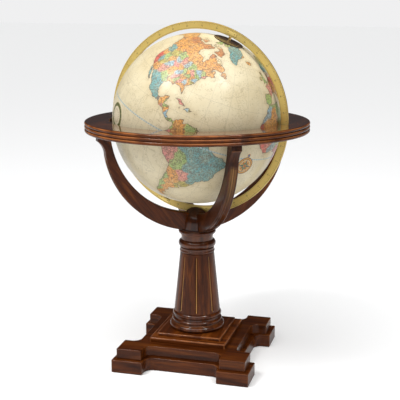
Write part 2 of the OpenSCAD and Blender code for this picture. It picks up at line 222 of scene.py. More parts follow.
def surface(tree, shader, colour, rough, height, relief, fixed):
    """Joins a colour, a roughness and a fine relief to a shader, and sets its fixed values."""
    strength, depth = relief
    bump = node(tree, "ShaderNodeBump", Strength=strength, Distance=depth, Height=height)
    for key, value in (("Base Color", colour), ("Roughness", rough), ("Normal", bump.outputs["Normal"])):
        tree.links.new(value, shader.inputs[key])
    for key, value in fixed.items():
        shader.inputs[key].default_value = value


def lacquered_wood(name, turn=(0, 0, 0), shade=1.0, shift=0.0, gilt_and_glint=False, polish=0.22, rough=0.30,
                   coat_rough=0.06):
    """Dark stained hardwood under gloss lacquer. Its grain runs along local X after the turn."""
    made, tree, shader = new_material(name)

    def stain(red, green, blue):
        return red * shade, green * shade, blue * shade, 1

    place = node(tree, "ShaderNodeTexCoord").outputs["Object"]
    along = node(tree, "ShaderNodeMapping", Vector=place, Rotation=turn,
                 Location=(shift, 1.7 * shift, 0.6 * shift)).outputs["Vector"]
    broad = node(tree, "ShaderNodeMapping", Vector=along, Scale=(0.9, 9, 9)).outputs["Vector"]
    narrow = node(tree, "ShaderNodeMapping", Vector=along, Scale=(1.4, 34, 34)).outputs["Vector"]
    pores = noise_on(tree, narrow, 14.0)
    figure = node(tree, "ShaderNodeValToRGB", Fac=noise_on(tree, broad, 7.0, 5.0, 0.55, Distortion=0.8))
    dark, light = figure.color_ramp.elements
    dark.position = 0.28
    dark.color = stain(0.030, 0.0060, 0.0012)
    light.position = 0.74
    light.color = stain(0.185, 0.050, 0.0065)
    figure.color_ramp.elements.new(0.52).color = stain(0.096, 0.0215, 0.0028)
    streaks = ramped(tree, pores, 0.35, 0.62, 0.66, 1.08)
    patches = ramped(tree, noise_on(tree, place, 5.0, 2.0, 0.5), start=0.72, stop=1.28)
    colour = mixed(tree, 1.0, figure.outputs["Color"], streaks, "MULTIPLY")
    colour = mixed(tree, 1.0, colour, patches, "MULTIPLY")
    uneven = ramped(tree, noise_on(tree, place, 24.0, 3.0, 0.5), 0.38, 0.62, 0.12, 0.75)
    # Marked faces are painted a lighter tone: partly stain rubbed thin, partly painted highlight.
    rub_and_highlight = node(tree, "ShaderNodeAttribute", attribute_name="rub_and_highlight").outputs["Fac"]
    colour = mixed(tree, sum_of(tree, "MULTIPLY", rub_and_highlight, uneven), colour, stain(0.30, 0.105, 0.032))
    # The gold line is partly gilt and partly painted reflection.
    if gilt_and_glint:
        gold = node(tree, "ShaderNodeAttribute", attribute_name="gilt_and_glint").outputs["Fac"]
        colour = mixed(tree, gold, colour, (0.52, 0.27, 0.075, 1))
    surface(tree, shader, colour, ramped(tree, pores, start=rough, stop=rough * 1.4), pores,
            (0.05, 0.0005), {"Specular IOR Level": 0.3 * polish, "Coat Weight": min(1.0, polish),
                             "Coat Roughness": coat_rough, "Coat IOR": 1.5})
    return made


def eased(shape, edges, width, steps):
    """Rounds edges and gives back the new faces."""
    return bmesh.ops.bevel(shape, geom=edges, offset=width, segments=steps, affect="EDGES",
                           profile=0.5, material=-1)["faces"]


def rub_layer(shape):
    """The layer that holds how much each face is painted lighter: stain rubbed thin, and painted
    highlight.
    """
    return shape.faces.layers.float.get("rub_and_highlight") or shape.faces.layers.float.new("rub_and_highlight")


def round_over(shape, edges, width, steps=3, lighter_share=1.0):
    """Rounds edges over and marks the rounded faces to be painted lighter, as stain rubbed thin and as
    painted highlight.
    """
    rub_and_highlight = rub_layer(shape)
    for face in eased(shape, edges, width, steps):
        face[rub_and_highlight] = lighter_share


def fresh_verts(grown):
    """The new vertices in what an extrusion gives back."""
    return [g for g in grown if isinstance(g, bmesh.types.BMVert)]


def thickened(shape, faces, step):
    """Grows flat faces by a step into a closed body."""
    grown = bmesh.ops.extrude_face_region(shape, geom=faces)["geom"]
    bmesh.ops.translate(shape, vec=step, verts=fresh_verts(grown))
    bmesh.ops.recalc_face_normals(shape, faces=shape.faces)


def upright(edge):
    a, b = edge.verts
    return abs(a.co.x - b.co.x) < 1e-6 and abs(a.co.y - b.co.y) < 1e-6


def level_at(edge, height):
    return all(abs(v.co.z - height) < 1e-6 for v in edge.verts)


def coved_board(name, half, foot, low, high, wood):
    """A square board with a recess in each side, its inner corners rounded to coves."""
    shape = bmesh.new()
    side = [(-half, -half), (foot - half, -half), (foot - half, recess_d - half),
            (half - foot, recess_d - half), (half - foot, -half)]
    around = []
    for quarter in range(4):
        turn = Matrix.Rotation(quarter * math.pi / 2, 3, "Z")
        around += [shape.verts.new(turn @ Vector((x, y, low))) for x, y in side]
    plan = shape.faces.new(around)
    thickened(shape, [plan], (0, 0, high - low))
    inner = recess_d - half
    coves = [e for e in shape.edges if upright(e)
             and max(abs(e.verts[0].co.x), abs(e.verts[0].co.y)) < -inner + 1e-6]
    eased(shape, coves, cove_r, 12)
    corners = [e for e in shape.edges if upright(e) and e.calc_face_angle_signed() > 1.0]
    round_over(shape, corners, corner_ease, lighter_share=0.35)
    rims = [e for e in shape.edges if level_at(e, high)
            and any(abs(f.normal.z) < 0.1 for f in e.link_faces)]
    round_over(shape, rims, rim_ease, lighter_share=0.5)
    shape.transform(Matrix.Rotation(base_turn, 4, "Z"))
    board = add(name, shape)
    paint(board, wood)
    return board


lower_half = 168.5 * mm
foot_l = 77 * mm
tier_inset = 10 * mm
foot_inset = 15 * mm
base_grain = (0, 0, -base_turn)
lower_wood = lacquered_wood("lower board wood", base_grain, 0.74, 0.3)
upper_wood = lacquered_wood("upper board wood", base_grain, 0.66, 2.1)
lower_tier = coved_board("lower_tier", lower_half, foot_l, lower_low.z, lower_high.z, lower_wood)
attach(lower_tier, "stand")
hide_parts("base_lower_tier")
upper_tier = coved_board("upper_tier", lower_half - tier_inset, foot_l - foot_inset, upper_low.z,
                         upper_high.z, upper_wood)
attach(upper_tier, "stand")
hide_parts("base_upper_tier")

# ---- Plinth: two square steps ----
# Two thinner square boards glued on the base, each set back from the one below. Their top edges are
# rounded over and painted a lighter tone, partly as worn stain and partly as painted highlight.

low_step_half = 95 * mm
top_step_half = 80 * mm
low_step_ease = 3.0 * mm
top_step_ease = 2.4 * mm
corner_more = 0.6 * mm


def square_board(name, half, low, high, ease, wood):
    """A square board with its upright and its top edges rounded over."""
    shape = bmesh.new()
    bmesh.ops.create_grid(shape, x_segments=1, y_segments=1, size=half)
    bmesh.ops.translate(shape, vec=(0, 0, low), verts=shape.verts)
    thickened(shape, shape.faces[:], (0, 0, high - low))
    round_over(shape, [e for e in shape.edges if upright(e)], ease + corner_more)
    rims = [e for e in shape.edges if level_at(e, high)]
    round_over(shape, rims, ease, 4)
    shape.transform(Matrix.Rotation(base_turn, 4, "Z"))
    board = add(name, shape)
    paint(board, wood)
    return board


low_step_low, low_step_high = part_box("plinth_step_lower")
top_step_low, top_step_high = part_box("plinth_step_upper")
cross_grain = (0, 0, math.pi / 2 - base_turn)
low_step = square_board("low_step", low_step_half, low_step_low.z, low_step_high.z, low_step_ease,
                        lacquered_wood("low step wood", base_grain, 1.0, 4.4))
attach(low_step, "stand")
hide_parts("plinth_step_lower")
top_step = square_board("top_step", top_step_half, top_step_low.z, top_step_high.z, top_step_ease,
                        lacquered_wood("top step wood", cross_grain, 0.92, 5.9))
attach(top_step, "stand")
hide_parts("plinth_step_upper")

# ---- Holes through the boards ----
# A drilled hole for the tie rod runs up through every board, with a wide well for its nut in the
# underside of the base. Four counterbored holes beside it take the screws.

rod_hole_r = 5.5 * mm
nut_well_r = 16 * mm
nut_well_h = 14 * mm
screw_hole_r = 2.55 * mm
screw_well_r = 5.05 * mm
screw_well_h = 9 * mm
screw_spot = 70 * mm
screw_skin = 3 * mm
cut = 1 * mm


def peg(spot, radius, low, high, sides=48):
    """An upright cylinder, used to drill a hole."""
    shape = bmesh.new()
    bmesh.ops.create_cone(shape, cap_ends=True, segments=sides, radius1=radius, radius2=radius,
                          depth=high - low)
    bmesh.ops.translate(shape, vec=(spot[0], spot[1], (low + high) / 2), verts=shape.verts)
    return shape


def cut_out(piece, cutter):
    """Cuts a closed shape out of a finished piece and throws the cutter away."""
    knife = add("knife", cutter)
    step = piece.modifiers.new("cut", "BOOLEAN")
    step.operation = "DIFFERENCE"
    step.solver = "MANIFOLD"
    step.object = knife
    graph = bpy.context.evaluated_depsgraph_get()
    left = bpy.data.meshes.new_from_object(piece.evaluated_get(graph))
    piece.modifiers.clear()
    left.shade_smooth()
    left.set_sharp_from_angle(angle=crease)
    piece.data = left
    bpy.data.objects.remove(knife, do_unlink=True)


def even_shading(piece):
    """Keeps flat faces looking flat beside their rounded edges."""
    step = piece.modifiers.new("even shading", "WEIGHTED_NORMAL")
    step.keep_sharp = True
    step.weight = 100


for board, low, high in ((lower_tier, lower_low.z, lower_high.z), (upper_tier, upper_low.z, upper_high.z),
                         (low_step, low_step_low.z, low_step_high.z),
                         (top_step, top_step_low.z, top_step_high.z)):
    cut_out(board, peg((0, 0), rod_hole_r, low - cut, high + cut))
cut_out(lower_tier, peg((0, 0), nut_well_r, lower_low.z - cut, lower_low.z + nut_well_h))
base_spin = Matrix.Rotation(base_turn, 2)
for x in (-screw_spot, screw_spot):
    for y in (-screw_spot, screw_spot):
        spot = base_spin @ Vector((x, y))
        cut_out(lower_tier, peg(spot, screw_hole_r, lower_low.z - cut, lower_high.z + cut, 24))
        cut_out(lower_tier, peg(spot, screw_well_r, lower_low.z - cut, lower_low.z + screw_well_h, 32))
        cut_out(upper_tier, peg(spot, screw_hole_r, upper_low.z - cut, upper_high.z - screw_skin, 24))
for board in (lower_tier, upper_tier, low_step, top_step):
    even_shading(board)

# ---- Column: turned foot, fluted shaft and collar ----
# Three turnings of the same dark wood, with beads and fillets cut on a lathe. The shaft tapers and has
# eight narrow flutes with round ends, whose bottoms are painted a golden tone, partly gilt and partly
# painted reflection, stronger lower down.

upright_grain = (0, math.pi / 2, 0)


def bead_line(reach, middle, thick, low_r, high_r, steps=12):
    """Points up a half-round bead that grows out of the wall below it and ends at the one above."""
    half = thick / 2
    core = reach - half
    start = math.acos(max(0.0, min(1.0, (low_r - core) / half)))
    stop = math.acos(max(0.0, min(1.0, (high_r - core) / half)))
    line = []
    for k in range(steps + 1):
        angle = -start + (start + stop) * k / steps
        line.append((core + half * math.cos(angle), middle + half * math.sin(angle)))
    return line


def in_metres(outline, bottom):
    """An outline of radius and height in millimetres, set at its height in metres."""
    return [(r * mm, bottom + z * mm) for r, z in outline]


def turned(line, steps=128, open_ends=False):
    """A full turning from an outline of radius and height. An open one starts and ends on the axis."""
    shape = bmesh.new()
    loop = [shape.verts.new((r, 0, z)) for r, z in line]
    onward = loop[1:] if open_ends else loop[1:] + loop[:1]
    rim = [shape.edges.new(pair) for pair in zip(loop, onward)]
    bmesh.ops.spin(shape, geom=loop + rim, axis=(0, 0, 1), cent=(0, 0, 0), angle=math.tau,
                   steps=steps, use_merge=True)
    bmesh.ops.remove_doubles(shape, verts=shape.verts, dist=1e-7)
    bmesh.ops.recalc_face_normals(shape, faces=shape.faces)
    return shape


def rub_where(shape, test):
    """Marks the faces to be painted lighter, as rubbed stain and as painted highlight."""
    rub_and_highlight = rub_layer(shape)
    for face in shape.faces:
        face[rub_and_highlight] = test(face.calc_center_median())


foot_low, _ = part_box("column_foot")
foot_line = [(5.5, 0), (59.5, 0)] + bead_line(68, 7, 14, 61, 61, 16)
foot_line += [(59.6, 14), (59, 14.6), (59, 17), (57.5, 17)] + bead_line(62, 21.5, 9, 57.5, 57.5)[1:]
foot_line += [(57, 26), (57, 30.4)] + bead_line(60.5, 36.5, 14, 57, 53.5, 16)[1:] + [(5.5, 43.5)]
foot_shape = turned(in_metres(foot_line, foot_low.z))
# The fillet between the bottom bead and the one above is painted lighter, partly as rubbed stain and
# partly as painted highlight.
rub_where(foot_shape, lambda c: 0.8 if 13.9 * mm < c.z - foot_low.z < 17.1 * mm else 0.0)
column_foot = add("turned_foot", foot_shape)
paint(column_foot, lacquered_wood("column foot wood", upright_grain, 0.8, 7.3, polish=0.5))
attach(column_foot, "stand")
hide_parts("column_foot")

collar_low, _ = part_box("column_collar")
collar_line = [(5.5, 0), (39.5, 0)] + bead_line(43.5, 4, 8, 39.5, 42) + [(42, 11.4), (41.4, 12)]
collar_line += [(39, 12)] + bead_line(46, 22.5, 21, 39, 39, 20) + [(39, 44), (40.6, 44), (41, 44.4)]
collar_line += [(41, 47)] + bead_line(46, 52, 10, 41, 42, 14) + [(42, 57.6), (41.6, 58), (5.5, 58)]
collar_shape = turned(in_metres(collar_line, collar_low.z))
# The fillet under the top bead is painted a lighter tone.
rub_where(collar_shape, lambda c: 0.7 if 43.9 * mm < c.z - collar_low.z < 47 * mm else 0.0)
collar = add("turned_collar", collar_shape)
paint(collar, lacquered_wood("collar wood", upright_grain, 0.9, 9.1, polish=0.5))
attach(collar, "stand")
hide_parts("column_collar")

shaft_low, shaft_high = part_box("column_shaft")
shaft_r_low = 57 * mm
shaft_r_top = 42 * mm
flutes = 8
flute_r = 3 * mm
flute_out = 0.5 * mm
flute_from = 8 * mm
flute_to = 140 * mm


def drawn_along(shape, loops, shares, key):
    """Draws a closed section through a row of places. Each loop holds its points at one place."""
    spot = shape.verts.layers.int.new("spot")
    share = shape.verts.layers.float.new(key)
    section = []
    for k, point in enumerate(loops[0]):
        vert = shape.verts.new(point)
        vert[spot] = k
        section.append(vert)
    edges = [shape.edges.new(pair) for pair in zip(section, section[1:] + section[:1])]
    first = list(edges)
    fresh = section
    for loop, worth in zip(loops, shares):
        if loop is not loops[0]:
            grown = bmesh.ops.extrude_edge_only(shape, edges=edges)["geom"]
            fresh = fresh_verts(grown)
            kept = set(fresh)
            edges = [g for g in grown if isinstance(g, bmesh.types.BMEdge) and kept.issuperset(g.verts)]
        for vert in fresh:
            vert.co = loop[vert[spot]]
            vert[share] = worth[vert[spot]]
    return first, edges


def fluted_shaft():
    """The tapered shaft: columns of vertices follow the flutes, rows crowd at their round ends."""
    height = shaft_high.z - shaft_low.z
    edge = math.sqrt(flute_r ** 2 - flute_out ** 2)
    across = [edge * f for f in (-1.25, -1, -0.9, -0.72, -0.45, -0.2, 0, 0.2, 0.45, 0.72, 0.9, 1, 1.25)]
    crowd = [flute_r * f for f in (-1.1, -0.98, -0.9, -0.75, -0.6, -0.45, -0.3, -0.15, 0)]
    rows = [0.0, 0.6 * mm, 2.5 * mm] + [flute_from + f for f in crowd]
    rows += [flute_from + (flute_to - flute_from) * k / 16 for k in range(1, 16)]
    rows += [flute_to - f for f in reversed(crowd)] + [height - 3 * mm, height - 0.6 * mm, height]
    plain = 9
    loops, shares = [], []
    for up in rows:
        radius = shaft_r_low + (shaft_r_top - shaft_r_low) * up / height
        beyond = max(flute_from - up, up - flute_to, 0.0)
        ease = max(0.0, 0.6 * mm - up, up - height + 0.6 * mm)
        loop, worth = [], []
        for k in range(flutes):
            middle = (k + 0.5) * math.tau / flutes
            free = math.tau / flutes - 2 * across[-1] / radius
            steps = [(s, s / radius) for s in across]
            steps += [(flute_r, across[-1] / radius + free * j / (plain + 1)) for j in range(1, plain + 1)]
            for s, turn in steps:
                left = max(0.0, flute_r ** 2 - s ** 2 - beyond ** 2)
                depth = max(0.0, math.sqrt(left) - flute_out)
                out = radius - depth - ease
                angle = middle + turn
                loop.append((out * math.cos(angle), out * math.sin(angle), shaft_low.z + up))
                # The gold line in each flute's bottom is partly gilt and partly painted reflection, fading
                # upward.
                lit = 1.0 if abs(s) < edge * 0.3 else 0.0
                worth.append(lit * min(1.0, depth / (1.6 * mm)) * (1 - 0.6 * up / height))
        loops.append(loop)
        shares.append(worth)
    shape = bmesh.new()
    low_rim, high_rim = drawn_along(shape, loops, shares, "gilt_and_glint")
    for rim in (high_rim, low_rim):
        grown = bmesh.ops.extrude_edge_only(shape, edges=rim)["geom"]
        for vert in fresh_verts(grown):
            vert.co.xy = vert.co.xy.normalized() * rod_hole_r
        inner = [g for g in grown if isinstance(g, bmesh.types.BMEdge)
                 and all(v.co.xy.length < 2 * rod_hole_r for v in g.verts)]
        rim[:] = inner
    bmesh.ops.bridge_loops(shape, edges=low_rim + high_rim)
    bmesh.ops.recalc_face_normals(shape, faces=shape.faces)
    return shape


shaft = add("fluted_shaft", fluted_shaft())
paint(shaft, lacquered_wood("shaft wood", upright_grain, 0.85, 11.7, gilt_and_glint=True))
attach(shaft, "stand")
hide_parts("column_shaft")

# ---- Hub ----
# The four arms meet at a domed block on top of the collar. A slot is sawn across its top, in the
# plane of the brass ring, and a dark grooved lining in the slot guides the ring's rim.

hub_low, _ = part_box("cradle_hub")
ball_low, ball_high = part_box("meridian_ring")
centre = Vector((0, 0, (ball_low.z + ball_high.z) / 2))
hub_r = 38 * mm
dome_z = hub_low.z + 16 * mm
slot_w = 13 * mm
slot_r = 234.3 * mm
slot_spread = 12
insert_r = 8.05 * mm
insert_h = 16 * mm


def dome_line(radius, low, flat, top, steps=20):
    """Outline of an upright cylinder with a half-round top, from its foot to the axis."""
    line = [(radius, low), (radius, flat)]
    for k in range(1, steps):
        angle = math.pi / 2 * k / steps
        line.append((radius * math.cos(angle), flat + radius * math.sin(angle)))
    return line + [(0.0, top)]


def ring_slot(radius, width, spread, top):
    """A closed slab that follows the brass ring's underside, for sawing the slot."""
    shape = bmesh.new()
    line = []
    for k in range(41):
        angle = math.radians(spread) * (k / 20 - 1)
        line.append((radius * math.sin(angle), centre.z - radius * math.cos(angle)))
    line += [(line[-1][0], top), (line[0][0], top)]
    face = shape.faces.new([shape.verts.new((x, -width / 2, z)) for x, z in line])
    thickened(shape, [face], (0, width, 0))
    return shape


hub_line = [(0.0, hub_low.z), (hub_r - 0.8 * mm, hub_low.z)]
hub_line += dome_line(hub_r, hub_low.z + 0.8 * mm, dome_z, dome_z + hub_r)
hub = add("domed_hub", turned(hub_line, 96, open_ends=True))
cut_out(hub, ring_slot(slot_r, slot_w, slot_spread, dome_z + hub_r + 5 * mm))
cut_out(hub, peg((0, 0), insert_r, hub_low.z - cut, hub_low.z + insert_h + cut))
paint(hub, lacquered_wood("hub wood", upright_grain, 0.62, 13.2, polish=0.4))
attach(hub, "stand")
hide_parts("cradle_hub")

# ---- Cradle arms ----
# Four arms sawn from thick board to two curves, swept out under the horizon ring, with eased edges. A
# shallow groove down the outer face holds a thin golden line, partly gilt and partly painted reflection,
# brighter towards the top. A narrow step is cut across each arm's outer face just under the ring.

arm_half = 12 * mm
arm_in_z = centre.z - 10 * mm
arm_in_r = 218.5 * mm
arm_out_z = centre.z - 40 * mm
arm_out_r = 232.5 * mm
horizon_low, horizon_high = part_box("horizon_front")
flare_z = horizon_low.z - 49.5 * mm
lip_z = horizon_low.z - 15 * mm
arm_top_r = 248 * mm
flare_start = math.sqrt(arm_out_r ** 2 - (arm_out_z - flare_z) ** 2)
flare_run = arm_top_r - flare_start
flare_rise = lip_z - flare_z
flare_r = (flare_run ** 2 + flare_rise ** 2) / (2 * flare_run)
gold_glint_from = horizon_low.z - 160 * mm
gold_glint_fade = 70 * mm
# Each arm's wood is toned by where it stands in the light: painted shade darkens the front-right arm most,
# and the back-right arm is painted lighter.
arm_turns_and_painted_shades = {"front_right": (-45, 0.55), "back_right": (45, 1.1), "back_left": (135, 0.95),
             "front_left": (225, 0.85)}


def arm_outer_line():
    """Points up an arm's outer edge: radius, height, groove depth share and painted highlight share."""
    line = []
    first = math.asin(20 * mm / arm_out_r)
    last = math.acos((arm_out_z - flare_z) / arm_out_r)
    for k in range(53):
        angle = first + (last - first) * k / 52
        z = arm_out_z - arm_out_r * math.cos(angle)
        groove = max(0.0, min(1.0, (flare_z - 4 * mm - z) / (5 * mm)))
        line.append((arm_out_r * math.sin(angle), z, groove, 0.0))
    sweep = math.asin(flare_rise / flare_r)
    for k in range(1, 13):
        angle = sweep * k / 12
        # The end of the flare carries a painted highlight.
        lighter_share = 0.9 if k > 11 else 0.0
        line.append((flare_start + flare_r * (1 - math.cos(angle)), flare_z + flare_r * math.sin(angle),
                     0.0, lighter_share))
    # The lip's lower and upper edges carry a painted highlight.
    for drop, step_in, lighter_share in ((14.2, 0, 0.9), (13.4, 0, 0.0), (5.6, 0, 0.0), (5.0, 1.6, 0.0),
                                (3.4, 1.6, 0.0), (3.0, 0.2, 0.9), (0, 0, 0.9)):
        line.append((arm_top_r - step_in * mm, horizon_low.z - drop * mm, 0.0, lighter_share))
    return line


def arm_section(groove):
    """Cross-section at one place: side step, depth from the outer or inner edge, and share of the gold
    line, which is partly gilt and partly painted reflection.
    """
    ease = 2.6 * mm
    depth = 1.5 * mm * groove
    corner = [(math.sin(a), 1 - math.cos(a)) for a in (0.0, 0.4, 0.85, 1.2, math.pi / 2)]
    outer = [(arm_half - ease + ease * s, ease * c, 0.0) for s, c in corner]
    middle = [(3.4 * mm, 0.0, 0.0), (2.2 * mm, depth * 0.75, 0.0), (1.2 * mm, depth, 1.0 * groove)]
    outer_half = middle + outer
    outer_row = [(-w, d, g) for w, d, g in reversed(outer_half)] + [(0.0, depth, groove)] + outer_half
    inner_row = [(w, d, 0.0) for w, d, g in reversed(outer)] + [(-w, d, 0.0) for w, d, g in outer]
    return outer_row, inner_row


def cradle_arm(turn):
    """An arm: its eased and grooved section drawn up between the inner and the outer curve."""
    spin = Matrix.Rotation(math.radians(turn), 3, "Z")
    side = Vector((0, 1, 0))
    line = arm_outer_line()
    loops, shares = [], []
    for r, z, groove, lighter_share in line:
        outer = Vector((r, 0, z))
        towards = (Vector((0, 0, arm_in_z)) - outer).normalized()
        inner = Vector((0, 0, arm_in_z)) - towards * arm_in_r
        if z > lip_z - 1e-6:
            towards = Vector((-1, 0, 0))
            inner = Vector((math.sqrt(arm_in_r ** 2 - (arm_in_z - z) ** 2), 0, z))
        outer_row, inner_row = arm_section(groove)
        loops.append([spin @ (outer + towards * d + side * w) for w, d, g in outer_row]
                     + [spin @ (inner - towards * d + side * w) for w, d, g in inner_row])
        # The arm's gold line is partly gilt and partly painted reflection, brighter towards the top.
        bright = 0.45 * max(0.0, min(1.0, (z - gold_glint_from) / gold_glint_fade))
        shares.append([g * bright for w, d, g in outer_row + inner_row])
    shape = bmesh.new()
    for rim in drawn_along(shape, loops, shares, "gilt_and_glint"):
        bmesh.ops.contextual_create(shape, geom=rim)
    # The lip's faces take the painted highlight share from the outline.
    rub_and_highlight = shape.faces.layers.float.new("rub_and_highlight")
    for face in shape.faces:
        high = face.calc_center_median()
        lighter_share = [w for (r, z, g, w), (_, top, _, _) in zip(line[1:], line) if top <= high.z <= z]
        on_lip = math.hypot(high.x, high.y) > arm_top_r - 6 * mm
        face[rub_and_highlight] = lighter_share[0] if lighter_share and on_lip else 0.0
    bmesh.ops.recalc_face_normals(shape, faces=shape.faces)
    return shape


for place, (turn, shade) in arm_turns_and_painted_shades.items():
    arm = add("curved_arm_" + place, cradle_arm(turn))
    blank = [(0.0, hub_low.z - 8 * mm)] + dome_line(hub_r, hub_low.z - 8 * mm, dome_z, dome_z + hub_r)
    cut_out(arm, turned(blank, 96, open_ends=True))
    lie = Matrix.Rotation(math.radians(52), 3, "Y") @ Matrix.Rotation(-math.radians(turn), 3, "Z")
    paint(arm, lacquered_wood("arm wood " + place, tuple(lie.to_euler()), shade, 15 + 0.021 * turn, True))
    even_shading(arm)
    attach(arm, "stand")
    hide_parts("arm_" + place)

# ---- Horizon ring ----
# A broad flat ring of four quarters, splined together over the arms. Three beads run round its
# rim, its faces are flat and glossy, and a notch at each side lets the brass ring through.

in_r = 209.0
out_r = 269.5
thick = (horizon_high.z - horizon_low.z) / mm
rim_bead = thick / 6


def horizon_outline():
    """Closed outline of the ring's section: radius and height in millimetres, and rubbed share."""
    line = [(in_r + 1.2, 0.0), (out_r - rim_bead, 0.0)]
    for k in range(3):
        for j in range(11):
            angle = math.radians(-81.7 + 163.4 * j / 10)
            if k == 0 and j == 0:
                angle = math.radians(-84)
            line.append((out_r - rim_bead + rim_bead * math.cos(angle),
                         (2 * k + 1) * rim_bead + rim_bead * math.sin(angle)))
    line += [(out_r - rim_bead - 0.4, thick), (in_r + 1.2, thick), (in_r + 0.35, thick - 0.35)]
    line += [(in_r, thick - 1.2), (in_r, 1.2), (in_r + 0.35, 0.35)]
    return line


def crest_rub(spot):
    """The painted highlight on the ring's edge: strongest on the upper shoulder of each bead, where the
    light from above falls.
    """
    out = math.hypot(spot.x, spot.y) / mm - (out_r - rim_bead)
    up = ((spot.z - horizon_low.z) / mm) % (2 * rim_bead) - rim_bead
    lean = math.degrees(math.atan2(up, out)) if out > 0.3 * rim_bead else 90
    return 1.5 if 22 < lean < 52 else 0.25 if -20 < lean <= 22 else 0.0


def horizon_quarter(middle):
    """A quarter of the ring, spun from its outline and closed at both ends."""
    shape = bmesh.new()
    spread = math.radians(90 - 0.02)
    start = Matrix.Rotation(math.radians(middle) - spread / 2, 3, "Z")
    loop = [shape.verts.new(start @ Vector((r * mm, 0, horizon_low.z + z * mm)))
            for r, z in horizon_outline()]
    rim = [shape.edges.new(pair) for pair in zip(loop, loop[1:] + loop[:1])]
    end = bmesh.ops.spin(shape, geom=loop + rim, axis=(0, 0, 1), cent=(0, 0, 0), angle=spread, steps=60)
    far_rim = [g for g in end["geom_last"] if isinstance(g, bmesh.types.BMEdge)]
    bmesh.ops.contextual_create(shape, geom=rim)
    bmesh.ops.contextual_create(shape, geom=far_rim)
    bmesh.ops.recalc_face_normals(shape, faces=shape.faces)
    rub_where(shape, crest_rub)
    return shape


notch_w = 12 * mm
notch_end = 233 * mm
ring_quarters = {"right": (0, 0.72), "back": (90, 0.7), "left": (180, 0.66), "front": (270, 1.0)}
for place, (middle, shade) in ring_quarters.items():
    quarter = add("horizon_" + place + "_quarter", horizon_quarter(middle))
    if middle in (0, 180):
        side = 1 if middle == 0 else -1
        notch = bmesh.new()
        reach = notch_end - in_r * mm + 2 * mm
        place_at = Matrix.Translation((side * (notch_end - reach / 2), 0, horizon_low.z + thick / 2 * mm))
        bmesh.ops.create_cube(notch, size=1, matrix=place_at @ Matrix.Diagonal(
            (reach, notch_w, (thick + 2) * mm, 1)))
        cut_out(quarter, notch)
    turn = (0, 0, math.radians(-middle - 90))
    shift = 21 + middle / 37
    paint(quarter, lacquered_wood("horizon wood " + place, turn, shade, shift))
    # The flat top faces get a glossier lacquer and a wood colour a quarter lighter, which is a painted
    # reflection.
    glossy_top_with_painted_reflection = lacquered_wood("polished top with painted reflection " + place, turn, shade * 1.25, shift, False, 1.6, 0.08, 0.02)
    quarter.data.materials.append(glossy_top_with_painted_reflection)
    for face in quarter.data.polygons:
        face.material_index = 1 if face.normal.z > 0.95 else 0
    even_shading(quarter)
    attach(quarter, "stand")
    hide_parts("horizon_" + place)

# ---- Liners, dowels, splines and clamp ----
# Dark felt lines the two notches and the hub's slot. Plain dowels and splines hold the cradle
# together inside the wood, and one plated rod with a nut and a washer clamps the whole column.


def grained(name, colour, other, scale, rough, metallic=0.0, relief=0.1, stretch=(1, 1, 1)):
    """A plain finish with fine grain in its colour, its gloss and its surface."""
    made, tree, shader = new_material(name)
    place = node(tree, "ShaderNodeTexCoord").outputs["Object"]
    pulled = node(tree, "ShaderNodeMapping", Vector=place, Scale=stretch).outputs["Vector"]
    grain = noise_on(tree, pulled, scale, 4.0)
    surface(tree, shader, mixed(tree, grain, (*colour, 1), (*other, 1)),
            ramped(tree, grain, start=rough - 0.08, stop=rough + 0.08), grain, (relief, 0.0004),
            {"Metallic": metallic})
    return made


def finish_node(name, material):
    """Gives a CAD node that keeps its own shape a better material."""
    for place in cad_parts[name].material_slots:
        place.link = "OBJECT"
        place.material = material


felt_dark = grained("dark felt", (0.012, 0.010, 0.009), (0.03, 0.025, 0.02), 1800, 0.9, relief=0.6)
felt_dark.node_tree.nodes["Principled BSDF"].inputs["Sheen Weight"].default_value = 0.3
plain_wood = grained("bare wood", (0.50, 0.30, 0.15), (0.33, 0.18, 0.08), 90, 0.6, stretch=(1, 1, 0.2))
plated = grained("zinc plate", (0.58, 0.58, 0.60), (0.42, 0.42, 0.45), 300, 0.34, 1.0)
insert_brass = grained("plain brass", (0.72, 0.50, 0.20), (0.58, 0.38, 0.13), 300, 0.36, 1.0)
for name in ("notch_liners", "saddle_liner"):
    finish_node(name, felt_dark)
for name in ("arm_hub_dowels", "arm_top_dowels", "horizon_splines"):
    finish_node(name, plain_wood)
for name in ("tie_rod", "tie_rod_washer", "tie_rod_nut", "base_screws"):
    finish_node(name, plated)
finish_node("rod_insert", insert_brass)

# ---- Felt pads ----
# A disc of green wool felt is glued under each corner foot, with a soft, slightly pressed rim.

pad_spot = 130 * mm
pad_line = in_metres([(0, 0), (23.4, 0), (23.9, 0.4), (24, 1.0), (23.9, 1.6), (23.7, 2), (0, 2)], 0)


def put_in(whole, part):
    """Adds a finished shape to another and throws it away."""
    held = bpy.data.meshes.new("held")
    part.to_mesh(held)
    part.free()
    whole.from_mesh(held)
    bpy.data.meshes.remove(held)


pads = bmesh.new()
for x in (-pad_spot, pad_spot):
    for y in (-pad_spot, pad_spot):
        disc = turned(pad_line, 64, open_ends=True)
        spot = base_spin @ Vector((x, y))
        bmesh.ops.translate(disc, vec=(spot.x, spot.y, 0), verts=disc.verts)
        put_in(pads, disc)
felt_discs = add("felt_discs", pads)
paint(felt_discs, grained("green felt", (0.03, 0.06, 0.035), (0.06, 0.11, 0.06), 1500, 0.92, relief=0.7))
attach(felt_discs, "stand")
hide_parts("felt_pads")

# ---- Meridian ring ----
# A full ring of flat brass bar, lacquered, with its corners broken and a fine line engraved near
# each edge. Both faces carry a scale of degrees counted from the equator, filled with dark ink.

ring_in = 212.5
ring_out = 230.5
ring_half = 2.5
mark_top = 227.3
mark_sizes = {"ten": (4.4, 0.5), "five": (3.2, 0.5), "one": (1.9, 0.32)}
count_r = 219.6
count_h = 4.6


